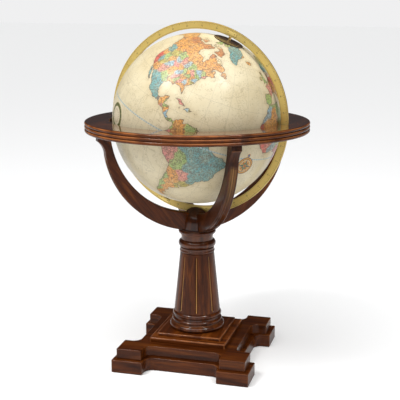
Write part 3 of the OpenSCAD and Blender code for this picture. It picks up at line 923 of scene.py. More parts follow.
def brushed_brass(name, tone=1.0, engraved_and_edge_shade=False):
    """Lacquered brass: turned in fine circles, with a clouded golden tone."""
    made, tree, shader = new_material(name)
    place = node(tree, "ShaderNodeTexCoord").outputs["Object"]
    fine = noise_on(tree, place, 900.0, 2.0, 0.5)
    colour = mixed(tree, noise_on(tree, place, 16.0), (0.64 * tone, 0.45 * tone, 0.115 * tone, 1),
                   (0.76 * tone, 0.59 * tone, 0.21 * tone, 1))
    if engraved_and_edge_shade:
        # Darkens the engraved lines, and the ring's broken corners as painted shade.
        engraving_and_edge_shade = node(tree, "ShaderNodeAttribute", attribute_name="line").outputs["Fac"]
        colour = mixed(tree, engraving_and_edge_shade, colour, (0.30, 0.17, 0.05, 1))
    surface(tree, shader, colour, ramped(tree, fine, start=0.34, stop=0.46), fine, (0.08, 0.0003),
            {"Metallic": 0.7})
    return made


def ring_outline():
    """Closed section of the ring: radius and side step in millimetres, and dark share: the engraved lines,
    and painted shade on the broken corners.
    """
    face = [(ring_in + 0.5, 0, 0), (ring_in + 1.3, 0, 0), (ring_in + 1.5, 0.14, 1)]
    face += [(ring_in + 1.9, 0.14, 1), (ring_in + 2.1, 0, 0), (mark_top + 0.5, 0, 0)]
    face += [(mark_top + 0.7, 0.14, 1), (mark_top + 1.2, 0.14, 1), (mark_top + 1.4, 0, 0)]
    face += [(ring_out - 0.5, 0, 0)]
    # The broken corners at both rims are darkened as painted shade.
    line = [(ring_out - 0.15, 0.15, 0.35), (ring_out, 0.5, 0.7)]
    front = [(ring_in, -(ring_half - 0.5), 0.5), (ring_in + 0.15, -(ring_half - 0.15), 0.25)]
    front += [(r, -(ring_half - step), g) for r, step, g in face]
    front += [(r, -(ring_half - step), g) for r, step, g in line]
    return front + [(r, -y, g) for r, y, g in reversed(front)]


ring_shape = bmesh.new()
engraved_and_edge_shade = ring_shape.verts.layers.float.new("line")
loop = []
for r, y, g in ring_outline():
    vert = ring_shape.verts.new(centre + Vector((r, y, 0)) * mm)
    vert[engraved_and_edge_shade] = g
    loop.append(vert)
rim = [ring_shape.edges.new((a, b)) for a, b in zip(loop, loop[1:] + loop[:1])]
bmesh.ops.spin(ring_shape, geom=loop + rim, axis=(0, 1, 0), cent=centre, angle=math.tau, steps=360,
               use_merge=True)
bmesh.ops.remove_doubles(ring_shape, verts=ring_shape.verts, dist=1e-7)
bmesh.ops.recalc_face_normals(ring_shape, faces=ring_shape.faces)
ring = add("brass_ring", ring_shape)
paint(ring, brushed_brass("ring brass", 1.06, True))
even_shading(ring)
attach(ring, "meridian")
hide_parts("meridian_ring")

axis_tilt = math.radians(23.5)
on_axis = Matrix.Translation(centre) @ Matrix.Rotation(axis_tilt, 4, "Y")


def bar(shape, place, width, height, thick):
    """A thin closed bar, placed by a matrix."""
    size = Matrix.Diagonal((width, height, thick, 1))
    bmesh.ops.create_cube(shape, size=1, matrix=place @ size)


def numeral(shape, words, height, thick, place):
    """Adds a number, drawn flat with a little thickness, to a shape."""
    curve = bpy.data.curves.new("numeral", "FONT")
    curve.body = words
    curve.size = height
    curve.align_x = "CENTER"
    curve.align_y = "CENTER"
    curve.extrude = thick / 2
    curve.resolution_u = 2
    holder = bpy.data.objects.new("numeral", curve)
    drawn = bpy.data.meshes.new_from_object(holder)
    before = len(shape.verts)
    shape.from_mesh(drawn)
    shape.verts.ensure_lookup_table()
    fresh = shape.verts[before:]
    for vert in fresh:
        vert.co = place(vert.co)
    bpy.data.objects.remove(holder, do_unlink=True)
    bpy.data.curves.remove(curve)
    bpy.data.meshes.remove(drawn)


ink = grained("dark ink", (0.035, 0.018, 0.008), (0.07, 0.035, 0.014), 700, 0.5)
proud = 0.04 * mm
marks = bmesh.new()
for side in (-1, 1):
    for degree in range(360):
        long, wide = mark_sizes["ten" if degree % 10 == 0 else "five" if degree % 5 == 0 else "one"]
        turn = on_axis @ Matrix.Rotation(math.radians(degree), 4, "Y")
        spot = Matrix.Translation((0, side * ring_half * mm, (mark_top - long / 2) * mm))
        bar(marks, turn @ spot, wide * mm, proud * 2, long * mm)
    for degree in range(0, 360, 10):
        count = abs(90 - degree % 180)
        turn = on_axis @ Matrix.Rotation(math.radians(degree), 4, "Y")
        face = Matrix.Rotation(math.pi / 2 if side < 0 else -math.pi / 2, 4, "X")
        flip = Matrix.Rotation(math.pi if side > 0 else 0, 4, "Z")
        spot = Matrix.Translation((0, side * ring_half * mm, count_r * mm))
        where = turn @ spot @ face @ flip
        numeral(marks, str(count), count_h * mm, proud * 2, lambda p: where @ p)
bmesh.ops.recalc_face_normals(marks, faces=marks.faces)
ring_marks = add("ring_marks", marks)
paint(ring_marks, ink)
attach(ring_marks, "meridian")
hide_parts("meridian_ring")

# ---- Pole plates, screws and pins ----
# A pair of small brass plates clasps the ring at each pole. Two countersunk slotted screws pass
# through both, and a pin between them carries the ball.

plate_mid = 221.5 * mm
plate_size = (28 * mm, 1.5 * mm, 9 * mm)
plate_out = 3.25 * mm
screw_spread = 9 * mm
screw_slot = (7 * mm, 1.1 * mm, 0.7 * mm)
on_south = Matrix.Translation(centre) @ Matrix.Rotation(axis_tilt + math.pi, 4, "Y")


def level_turning(line, place, shift):
    """A turning laid along Y: its outline's height becomes the distance from front to back."""
    shape = turned(line, 32, open_ends=True)
    lay = place @ Matrix.Translation((shift, 0, plate_mid)) @ Matrix.Rotation(-math.pi / 2, 4, "X")
    shape.transform(lay)
    return shape


def pole_plate(name, place, side):
    """A small plate with round corners and an eased outer face, drilled for its two screws."""
    shape = bmesh.new()
    bmesh.ops.create_cube(shape, size=1, matrix=Matrix.Diagonal((*plate_size, 1)))
    eased(shape, [e for e in shape.edges if abs(e.verts[0].co.y - e.verts[1].co.y) > 1e-6], 2.2 * mm, 5)
    eased(shape, [e for e in shape.edges if all(v.co.y * side > 0.7 * mm for v in e.verts)], 0.35 * mm, 2)
    shape.transform(place @ Matrix.Translation((0, side * plate_out, plate_mid)))
    plate = add(name, shape)
    for shift in (-screw_spread, screw_spread):
        hole = [(0.0, -5 * mm), (2.65 * mm, -5 * mm), (2.65 * mm, -4 * mm), (1.45 * mm, -2.8 * mm)]
        if side > 0:
            hole = [(0.0, -5 * mm), (1.45 * mm, -5 * mm)]
        hole += [(1.45 * mm, 5 * mm), (0.0, 5 * mm)]
        cut_out(plate, level_turning([(r, -z) for r, z in reversed(hole)], place, shift))
    return plate


plate_brass = brushed_brass("plate brass", 1.22)
# The plates' side faces get a dark copy of the brass: a painted shade outline.
plate_edge_painted_shade = brushed_brass("plate edge brass with painted shade", 0.42)
blackened = grained("blackened steel", (0.055, 0.05, 0.045), (0.10, 0.09, 0.08), 500, 0.4, 0.9)
for pole, place in (("north", on_axis), ("south", on_south)):
    for side, facing in ((-1, "front"), (1, "back")):
        plate = pole_plate(pole + "_clasp_" + facing, place, side)
        paint(plate, plate_brass)
        plate.data.materials.append(plate_edge_painted_shade)
        for flat_side in plate.data.polygons:
            flat_side.material_index = 0 if abs(flat_side.normal.y) > 0.95 else 1
        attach(plate, "meridian")
        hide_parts(pole + "_plate_" + facing)
    screws = bmesh.new()
    for shift in (-screw_spread, screw_spread):
        line = [(0.0, -4 * mm), (1.3 * mm, -4 * mm), (1.4 * mm, -3.9 * mm), (1.4 * mm, 2.8 * mm)]
        line += [(2.55 * mm, 3.95 * mm), (2.5 * mm, 4 * mm), (0.0, 4 * mm)]
        one = level_turning(line, place, shift)
        screw = add("one_screw", one)
        slot_cut = bmesh.new()
        tilt = Matrix.Rotation(math.radians(25 if shift > 0 else -50), 4, "Y")
        bar(slot_cut, place @ Matrix.Translation((shift, -4 * mm, plate_mid)) @ tilt, *screw_slot)
        cut_out(screw, slot_cut)
        screws.from_mesh(screw.data)
        bpy.data.objects.remove(screw, do_unlink=True)
    pair = add(pole + "_slotted_screws", screws)
    paint(pair, insert_brass if pole == "north" else blackened)
    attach(pair, "meridian")
    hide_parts(pole + "_plate_screws")
finish_node("north_pole_pin", insert_brass)
finish_node("south_pole_pin", blackened)

# ---- Ball ----
# Two half shells pressed from board, joined by a band inside and covered with printed paper under
# a satin varnish. The map is an antique-style political one. A moulded bushing fits each pole.

ball_r = 203 * mm
shell_r = 200 * mm
bushing_hole = 6.05 * mm
map_turn = 6.1
lands = """
    -168 66, -166 68, -163 69.5, -157 71, -150 70.5, -141 69.7, -135 69, -128 70, -120 69.5, -115 68,
    -108 68, -102 67.5, -96 68, -94 71.5, -91 69, -88 68.5, -85 69.5, -82 69, -82 67, -86 66.5,
    -87 64.5, -92 63, -94.5 60, -93 58, -92.5 57, -88 56.5, -82.5 55.2, -82 52.8, -79 51.5, -79 54.5,
    -77 56.5, -78 59, -78 62.3, -73.5 62.2, -70 60.5, -65 59.5, -64.5 60.3, -62 58, -60.5 55.5,
    -57 53.5, -55.8 52, -59.5 50.3, -66 50.2, -69.5 48, -65 49.2, -64.5 47.5, -65 46.3, -61.5 45.5,
    -66 43.7, -67 44.8, -70 43.7, -70.8 42.3, -70 41.7, -73.8 40.7, -74.5 39.2, -76 37, -75.7 35.3,
    -79 33.5, -81.3 31.2, -80.2 27, -80.6 25.2, -82 26.8, -83 29.3, -85.5 29.8, -89.3 30.2,
    -89.5 29.1, -94 29.6, -97.3 27.5, -97.7 23, -96 19.2, -94.5 18.2, -91.5 18.6, -90.4 21, -87 21.5,
    -87.6 18.3, -88.6 16, -84 15.9, -83.3 14.5, -83.7 11.5, -81.7 9, -79.6 9.5, -77.5 8.6, -80.3 7.5,
    -83 8.3, -85.7 10.2, -87.5 13, -91.5 14, -94 16.1, -97 15.8, -101 17.3, -105.5 20.2, -105.5 22.5,
    -109 25.8, -112.5 30, -114.7 31.7, -112.8 28.2, -110 24.3, -109.6 23, -112 24.8, -115 28,
    -117 32.5, -120.6 34.5, -122.5 37.5, -124.3 40.5, -124 46, -124.7 48.3, -122.8 49, -127.5 51,
    -130.5 54.8, -134.5 58.2, -139.5 59.8, -144 60, -148 60.2, -151.8 59.3, -150.5 61, -154 58.5,
    -158 56.5, -164.5 54.6, -159.5 57.8, -157 58.8, -162 59, -166 62, -161.5 64.4;
    -77.5 8.6, -75.5 10.8, -71.7 12.3, -71.3 10, -68.3 10.8, -62 10.6, -60 8.5, -57 6, -51.5 4.3,
    -50 0.8, -44 -2.7, -39.5 -3, -35.2 -5.5, -35 -9, -39 -14, -39.3 -18.5, -41 -22, -44.5 -23.3,
    -48.5 -26, -49.7 -29.5, -53.3 -33.5, -56.5 -35, -58.4 -34, -57 -36.5, -62 -39, -65 -41,
    -63.8 -42.6, -67.3 -46, -65.8 -47.8, -69 -51, -68.4 -52.5, -65.2 -54.8, -69.5 -55.5, -74 -52.5,
    -75.3 -47, -73 -42, -73.6 -37.5, -71.5 -32, -70.3 -24, -70.3 -18.4, -76.2 -13.7, -79.8 -7.5,
    -81.3 -4.7, -80 -2.7, -80.3 0.5, -77.5 3.8, -77.5 7;
    -73 78.2, -68 80.5, -60 82, -45 82.5, -33 83.5, -22 82.3, -12 81.5, -19 79, -20 76, -22 72,
    -23 70, -32 68, -39.5 65.5, -43 60, -48 61, -52 64, -53.7 67.5, -51 69.7, -55 71.5, -58.5 75.5,
    -66 76;
    -80 73.5, -76 72.7, -68.5 70.5, -62 66.7, -65 62.5, -71 63, -78 64.5, -73 66, -73 68.5, -79 70,
    -89 71, -88 73.5;
    -117 70, -105 69, -105 73, -115 73.2;
    -125 72, -117 73, -122 74.5;
    -90 76.5, -78 76.3, -77 79, -62 82.3, -70 83.1, -90 82, -92 79;
    -92 75, -80 75, -82 76.2, -95 76.6;
    -59 47.7, -53 46.8, -53.5 49, -55.7 51.6, -58 49.5;
    -85 22, -80 23.1, -74.3 20.2, -78 20, -82 22.3;
    -74.3 18.4, -73 20, -68.5 18.7, -71.5 17.8;
    -78.3 18.3, -76.3 18.2, -77.2 17.8;
    -67.2 18.4, -65.7 18.3, -66.5 18;
    -24 65.5, -21 66, -15 66.3, -13.7 65, -18.7 63.4, -22.5 64;
    -9 37.2, -9.3 43, -1.8 43.4, -1.3 46, -4.6 48.4, 1.6 50.4, 4.5 52.3, 8.3 54, 8.2 57, 10.6 57.5,
    10 54.5, 14 54, 19 54.5, 21.5 57.5, 24 59.3, 30 59.9, 25 60.2, 22 61, 21.5 63.2, 25 65, 22 65.8,
    17.5 62, 18.7 60, 16.5 57, 14.3 55.5, 12.8 56, 11.2 59, 7 58.1, 5 61.5, 11 64.5, 15 68, 22 70.5,
    28 71, 41 67.5, 33 66.7, 35 64.4, 40 65, 44 66, 44 68.3, 54 68.7, 60.5 69, 68 68.5, 67 71.5,
    73 73, 73 67.5, 77 72.3, 87 75.2, 104 77.6, 113 74, 128 73, 140 72.7, 152 71, 160 69.7, 170 69.5,
    180 68.7, 190 66, 180 65, 177 62.5, 171 60, 163 59.5, 163 56, 157 51.1, 155.8 57, 164 62,
    157 61.7, 143 59.3, 135.5 54.7, 141 53, 140 48.5, 131.5 43, 127.6 39.6, 129.4 36, 126.4 34.5,
    126 37.5, 121.5 39, 118 39, 122.5 37, 119.3 35, 121.8 31, 121 28, 116.5 23, 110 21, 108 21.7,
    106 19, 109 13, 107 10.3, 105 8.7, 105 10.5, 101 12.8, 99.5 10, 103.5 2, 101 3, 98.3 8, 98.5 13,
    97.5 16.7, 94.3 16, 91.5 22.5, 87 21.5, 80.2 15.5, 80 11, 77.5 8.1, 73 17, 72.7 21, 69 22.3,
    66.5 25.2, 57 25.7, 56.5 27, 51.5 27.9, 48.5 30, 51.3 24.5, 54 24.1, 56.3 26, 59.8 22.5, 55 17.5,
    45 12.8, 43 13, 42.5 16.5, 35 28, 32.5 30, 34.3 31.3, 36 35.8, 30.5 36.5, 27.3 37, 26.3 39.5,
    29 41, 35 42, 41.5 41.5, 37.3 45, 39 47.2, 35 46.3, 33.5 44.5, 30.7 46.4, 28 42, 26 40.8,
    23.5 40, 24 38, 22.7 36.5, 19.5 41.7, 13.7 45, 12.4 44.2, 18.3 40.2, 16 38, 15.5 40, 10.3 43.8,
    7.5 43.8, 3.3 43, 0 40, -0.5 38, -2 36.8, -5.5 36;
    -5.5 50.1, 1.3 51.2, 0.3 53, -1.6 55.6, -2 57.6, -5 58.6, -5.6 56.2, -3 54.3, -4.8 53, -4 51.6;
    -10 52, -6.2 52.2, -5.7 54.6, -8 55.3, -10 53.8;
    -6 35.8, -1 35.8, 10 37.3, 11 34, 15 32.3, 20 31, 20 32.7, 25 31.6, 32.5 31.2, 32.6 29.8,
    35.5 24, 37.3 20.5, 39.7 15, 43.2 11.7, 51.2 11.8, 48 4.3, 41.5 -1.8, 39 -6.5, 40.6 -11,
    40.3 -16, 35 -20, 35.4 -23.8, 32.7 -26, 31 -29.7, 27 -33.7, 20 -34.7, 18.2 -32.5, 15 -26.5,
    12 -17.5, 13.7 -12, 12.2 -5.5, 9 -0.7, 9.6 3.8, 5 4.5, 4.4 6.3, -2 4.8, -7.6 4.4, -13 8.8,
    -16.7 12.5, -17.3 14.8, -16.3 19.3, -17 21, -13 27.8, -9.7 30, -9.5 32;
    49.3 -12, 50.2 -15.8, 47 -25, 44 -24.5, 44.3 -17;
    113.5 -22, 114 -26, 115.7 -32, 115 -34.3, 118 -35, 124 -33.8, 129 -31.6, 132 -32, 135.5 -34.8,
    138 -33, 139.5 -36.5, 141 -38.3, 146.3 -39, 150 -37.5, 153 -32, 153.3 -26, 149 -21, 146 -19,
    145.3 -15, 142.5 -10.8, 141.5 -14, 139.5 -17.5, 136 -15.5, 136.7 -12.2, 131 -12, 129.5 -15,
    126 -14, 122 -18.2, 117 -20.7;
    144.8 -40.8, 148.3 -40.9, 147.8 -43.2, 146 -43.5;
    131 -1, 137.8 -1.5, 145 -4.5, 150.5 -10.5, 143 -9, 138 -8.3, 133 -4;
    109 1.5, 113 3, 117 7, 119 5, 117.5 0.8, 116 -4, 110.3 -3;
    95.3 5.6, 100 2.5, 106 -5.8, 102 -4;
    105.5 -6.5, 114.4 -7.7, 114 -8.7, 106.5 -7.4;
    119.5 -5.3, 120 1, 125 1.5, 121 -1, 122.5 -5;
    120.5 18.3, 122.2 18.2, 124 12.8, 120.6 14;
    122 7, 126 6.5, 126 9.7, 123.5 8.5;
    130.8 34, 136 36.8, 140 41.4, 141.9 39.5, 140.7 35.7, 136 33.6, 131 31.2;
    140 42, 141.7 45.4, 145.3 43.3, 141.5 42.5;
    142 46, 143.5 49, 143 54, 142 52;
    173 -34.6, 178.5 -37.7, 175.3 -41.5, 174.8 -39;
    174 -41, 171 -44.7, 168.5 -46.6, 166.5 -45.8, 171 -42;
    52 71, 57 71, 69 76.5, 60 76;
    12 78.5, 20 80, 25 79, 17 76.8;
    80 9.5, 81.8 7, 80.3 6.2;
    120.2 23.2, 121.8 25, 121 22;
    108.8 19.5, 110.8 20, 109.5 18.3;
    -180 -90, -180 -78, -150 -77, -130 -74, -100 -73, -75 -73, -68 -67, -58 -63.5, -61 -70, -62 -75,
    -45 -78, -28 -77, -10 -71, 20 -70, 50 -67, 80 -68, 110 -66.5, 140 -67, 165 -71, 165 -78, 180 -78,
    180 -90"""

ink_names = {
    "orange": (0.66, 0.30, 0.075), "rust": (0.50, 0.19, 0.07), "green": (0.30, 0.42, 0.14),
    "pink": (0.62, 0.23, 0.20), "teal": (0.125, 0.315, 0.31), "blue": (0.27, 0.41, 0.46),
    "olive": (0.40, 0.345, 0.085), "red": (0.56, 0.085, 0.07), "cream": (0.62, 0.52, 0.32)}
countries = """
    orange: -105 57, -112 55, -120 56, -128 60, -98 55, -88 52, -80 49, -72 50, -66 53, -152 65, -160 63,
        -145 64, -60 52, -113 60, -104 62, -96 62, -73 56, -134 64, -120.5 44, -107.5 43, -111.7 34.3,
        -98.4 38.5, -97.5 35.5, -93.5 42, -92 31, -86.2 40, -86.5 35.8, -80.8 34, -80.7 38.7, -69.2 45.3,
        -81.7 28, -84.5 30.3, -90.5 15.5, -85.5 12.8, -73 4, -74 8, -70 2, -66 -37, -65 -32, -68 -42,
        -70 -49, -67 -27, -18.5 65, -3 24, -1 28, 2 18, 30 15, 22 -29, 19 -5, 47 -19, 105 35, 100 30,
        112 30, 95 40, 62 60, 135 -25, 10 47, 45 31;
    rust: -115 66, -100 66, -90 67, -76 68, -72 66, -125 66, -80 60.5, -112 71;
    green: -114.5 44, -100.3 47.4, -99 31.5, -89.2 40, -85 44, -85 37.5, -89.7 32.7, -77.7 41, -72 44.3,
        -86.5 14.8, -80.5 8.3, -77.2 18, -65 7, -62 5, -64 -17, -66 -14, -71 -30, -71.5 -38, -73.5 -46,
        -80 79, -75 81, -88 76, -5 40, -2 53, 20 63, 38 20, 8 10, 12 30, 28 -13, 27 -20, 78 22, 82 26,
        125 -22, 128 -16, 140 64, 120 62, 44 24, 20 12, 172 -43;
    pink: -106 34.4, -99.8 41.5, -94.5 46, -92.4 34.8, -82.8 40.3, -86.8 32.8, -71.7 42.3, -89 13.6,
        -79 22, -75.5 20.6, -75 -10, -77 -5, -78 -1, -73 -14, -58 -23, -3 47, 2 47, 60 33, 65 38, 15 0,
        22 2, 37 -6, -8 13, -5 15, 90 60, 80 66, 100 65, 145 -30, 140 -5, 110 0, 138 37, 46 40;
    teal: -120.5 47.4, -117 39, -102 24, -107 28, -113 28, -99 20, -96 17, -55 -8, -48 -10, -60 -3,
        -45 -15, -52 -15, -54 -2, -57 -16, -52 -24, -42 -6, -42 70, -38 76, -30 80, -50 62, 25 24, 45 6,
        40 9, 18 -12, 14 -15, 68 48, 75 50, 150 68, 122 -30, 105 15, 104 48, 12 62, -95 16;
    blue: -105.5 39, -100.2 44.4, -92.5 38.4, -89.8 44.5, -83.4 32.7, -78.5 37.5, -75.5 43, -84 10,
        -73 19, -8 32, 3 8, 34 0, 35 39, 30 50, 26 46, 130 60, 127 37, 148 -22, 100 -1, 96 21, 24 -24;
    olive: -109.5 47, -111.5 39.3, -79 35.5, -70 19, -56 -33, -59 4, -8 53, 15 20, 17 16, 30 65, 52 56,
        32 -28, 35 -18, 90 30, 85 35, 116 -28, 70 30, 55 30, 170 66;
    red: -119.5 37, -122 40, -14 14, -11 8, 10 4, 48 9, 15 52, 88 46, 75 12, 30 28, 30 5;
    cream: -85 73, -112 75, -122 73, -100 78, -62 58, 0 -85, 90 -80, 180 -80, -90 -80, 60 75, 18 79"""


def spots(words):
    """Longitude and latitude pairs from a line of text."""
    return np.array([[float(v) for v in pair.split()] for pair in words.split(",")])


cell = 0.5
lons = np.arange(-180, 180, cell)
lats = np.arange(-90, 90 + cell, cell)
coast = np.full((len(lats), len(lons)), 7.0)
on_land = np.zeros(coast.shape, bool)


def near_coast(first, last):
    """Shortens the map's distances to the coast where this stretch of it runs close by."""
    low, high = min(first[1], last[1]) - 7, max(first[1], last[1]) + 7
    rows = np.nonzero((lats >= low) & (lats <= high))[0]
    squeeze = max(0.12, math.cos(math.radians(min(89, max(abs(low), abs(high))))))
    west = min(first[0], last[0]) - 7 / squeeze
    east = max(first[0], last[0]) + 7 / squeeze
    wide = np.arange(math.floor((west + 180) / cell), math.ceil((east + 180) / cell) + 1)[:len(lons)]
    lon = wide * cell - 180
    lat = lats[rows][:, None]
    shrink = np.cos(np.radians(lat))
    ax, ay = (first[0] - lon) * shrink, first[1] - lat
    run, rise = (last[0] - first[0]) * shrink, last[1] - first[1]
    share = np.clip(-(ax * run + ay * rise) / (run ** 2 + rise ** 2 + 1e-9), 0, 1)
    far = np.hypot(ax + share * run, ay + share * rise)
    place = np.ix_(rows, wide % len(lons))
    coast[place] = np.minimum(coast[place], far)


for outline in lands.split(";"):
    points = spots(outline)
    ends = np.roll(points, -1, axis=0)
    for first, last in zip(points, ends):
        if abs(first[0]) < 180 or abs(last[0]) < 180:
            near_coast(first, last)
    for row, lat in enumerate(lats + 1e-4):
        over = (points[:, 1] > lat) != (ends[:, 1] > lat)
        if not over.any():
            continue
        a, b = points[over], ends[over]
        meets = np.sort(a[:, 0] + (lat - a[:, 1]) / (b[:, 1] - a[:, 1]) * (b[:, 0] - a[:, 0]))
        for west, east in meets.reshape(-1, 2):
            span = np.arange(math.ceil((west + 180) / cell), math.floor((east + 180) / cell) + 1)
            on_land[row, span % len(lons)] = True
coast = np.where(on_land, coast, -coast)

grid_lon, grid_lat = np.meshgrid(np.radians(lons), np.radians(lats))
warp_lon = grid_lon + 0.016 * np.sin(23 * grid_lat + 3 * grid_lon) + 0.009 * np.sin(61 * grid_lat)
warp_lat = grid_lat + 0.014 * np.sin(19 * grid_lon + 1.3) + 0.008 * np.sin(53 * grid_lon)
tips = np.stack([np.cos(warp_lat) * np.cos(warp_lon), np.cos(warp_lat) * np.sin(warp_lon),
                 np.sin(warp_lat)], -1).reshape(-1, 3)
seeds, inks = [], []
for line in countries.split(";"):
    name, words = line.split(":")
    for lon, lat in np.radians(spots(words)):
        seeds.append((math.cos(lat) * math.cos(lon), math.cos(lat) * math.sin(lon), math.sin(lat)))
        inks.append(ink_names[name.strip()])
seeds, inks = np.array(seeds), np.array(inks)
border = np.zeros(len(tips))
tint = np.zeros((len(tips), 3))
for start in range(0, len(tips), 20000):
    part = slice(start, start + 20000)
    close = tips[part] @ seeds.T
    best = close.argmax(1)
    rows = np.arange(len(best))
    first = close[rows, best].copy()
    close[rows, best] = -1
    second = close.max(1)
    border[part] = np.degrees(np.arccos(np.clip(second, -1, 1)) - np.arccos(np.clip(first, -1, 1))) / 2
    tint[part] = inks[best]
border = border.reshape(coast.shape)
tint = tint.reshape(*coast.shape, 3)


def sampled(field, lon, lat):
    """Values of a map field at any places, blended between its cells."""
    across = (lon + 180) / cell
    up = np.clip((lat + 90) / cell, 0, len(lats) - 1.001)
    left, low = np.floor(across).astype(int), np.floor(up).astype(int)
    part, rise = across - left, up - low
    west, east = left % len(lons), (left + 1) % len(lons)
    if field.ndim == 3:
        part, rise = part[:, None], rise[:, None]
    below = field[low, west] * (1 - part) + field[low, east] * part
    above = field[low + 1, west] * (1 - part) + field[low + 1, east] * part
    return below * (1 - rise) + above * rise


def printed_map():
    """The paper map: tinted land, parchment sea, dark coasts, fine grid lines and small print."""
    made, tree, shader = new_material("printed map")
    mix, calc, ramp, noise = (partial(helper, tree) for helper in (mixed, sum_of, ramped, noise_on))

    def held(key, kind="Fac"):
        return node(tree, "ShaderNodeAttribute", attribute_name=key).outputs[kind]

    def vein(scale):
        return calc("ABSOLUTE", calc("SUBTRACT", noise(place, scale), 0.5))

    def line_every(value, pitch, width, squeeze=None):
        part = calc("FRACT", calc("ADD", calc("DIVIDE", value, pitch), 0.5))
        off = calc("MULTIPLY", calc("ABSOLUTE", calc("SUBTRACT", part, 0.5)), pitch)
        if squeeze is not None:
            off = calc("MULTIPLY", off, squeeze)
        return ramp(off, width * 0.6, width * 1.4, 1.0, 0.0)

    place = node(tree, "ShaderNodeTexCoord").outputs["Object"]
    level = (0, -axis_tilt, 0)
    local = node(tree, "ShaderNodeMapping", Vector=place, Rotation=level,
                 Location=-(Matrix.Rotation(-axis_tilt, 3, "Y") @ centre))
    x, y, z = node(tree, "ShaderNodeSeparateXYZ", Vector=local.outputs["Vector"]).outputs
    lat = calc("DEGREES", calc("ARCSINE", calc("MINIMUM", calc("DIVIDE", z, ball_r), 1.0)))
    lon = calc("ADD", calc("DEGREES", calc("ARCTAN2", y, x)), 720 + map_turn)
    off_axis = calc("SQRT", calc("ADD", calc("MULTIPLY", x, x), calc("MULTIPLY", y, y)))
    girth = calc("DIVIDE", off_axis, ball_r)
    shore = held("coast")
    edge = held("border")
    ink_of = held("tint", "Color")
    ragged = noise(place, 130, 4.0, 0.62)
    shore = calc("MULTIPLY_ADD", calc("SUBTRACT", ragged, 0.5), 2.6, shore)
    wobble = noise(place, 210, 2.0)
    edge = calc("MULTIPLY_ADD", calc("SUBTRACT", wobble, 0.5), 0.7, edge)
    cloud = noise(place, 9, 4.0, 0.62)
    fine = noise(place, 300, 3.0)
    sea = mix(ramp(cloud, 0.36, 0.66), (0.66, 0.585, 0.405, 1), (0.56, 0.475, 0.30, 1))
    shallow = calc("MULTIPLY", ramp(shore, -3.2, 0.0), 0.42)
    sea = mix(shallow, sea, (0.42, 0.33, 0.19, 1))
    depths = vein(15)
    stain = noise(place, 4.5, 2.0)
    sea = mix(ramp(stain, 0.48, 0.72, 0.0, 0.42), sea, (0.46, 0.36, 0.19, 1))
    sea = mix(ramp(depths, 0.003, 0.010, 0.30, 0.0), sea, (0.30, 0.24, 0.15, 1))
    patchy = noise(place, 34, 4.0)
    relief_tint = noise(place, 110, 3.0)
    land = mix(ramp(patchy, 0.36, 0.70, 0.0, 0.28), ink_of, (0.56, 0.44, 0.22, 1))
    land = mix(ramp(relief_tint, 0.52, 0.70, 0.0, 0.35), land, (0.60, 0.50, 0.30, 1))
    land = mix(ramp(fine, 0.46, 0.60, 0.0, 0.66), land, (0.10, 0.065, 0.035, 1))
    rivers = vein(46)
    land = mix(ramp(rivers, 0.006, 0.016, 0.6, 0.0), land, (0.12, 0.10, 0.08, 1))
    land = mix(ramp(edge, 0.08, 0.24, 0.7, 0.0), land, (0.17, 0.09, 0.06, 1))
    colour = mix(ramp(shore, -0.06, 0.06), sea, land)
    rim_line = ramp(calc("ABSOLUTE", shore), 0.08, 0.28, 0.8, 0.0)
    colour = mix(rim_line, colour, (0.10, 0.075, 0.055, 1))
    grid = calc("MAXIMUM", line_every(lon, 15, 0.10, girth), line_every(calc("ADD", lat, 90.0), 15, 0.10))
    colour = mix(calc("MULTIPLY", grid, 0.38), colour, (0.22, 0.20, 0.17, 1))
    band = ramp(calc("ABSOLUTE", lat), 0.38, 0.48, 1.0, 0.0)
    ladder = mix(line_every(lon, 2, 0.25), (0.40, 0.50, 0.50, 1), (0.10, 0.22, 0.30, 1))
    colour = mix(calc("MULTIPLY", band, 0.75), colour, ladder)
    upright_map = node(tree, "ShaderNodeMapping", Vector=place, Rotation=level).outputs["Vector"]
    squashed = node(tree, "ShaderNodeMapping", Vector=upright_map, Scale=(1, 1, 3.2)).outputs["Vector"]
    words = ramp(noise(squashed, 300, 1.0), 0.57, 0.62)
    small = calc("MULTIPLY", words, ramp(noise(place, 60, 2.0), 0.44, 0.54))
    colour = mix(calc("MULTIPLY", small, 0.36), colour, (0.16, 0.12, 0.08, 1))
    surface(tree, shader, colour, ramp(fine, 0.3, 0.7, 0.38, 0.52), patchy, (0.12, 0.0004),
            {"Specular IOR Level": 0.3, "Coat Weight": 0.2, "Coat Roughness": 0.22})
    return made


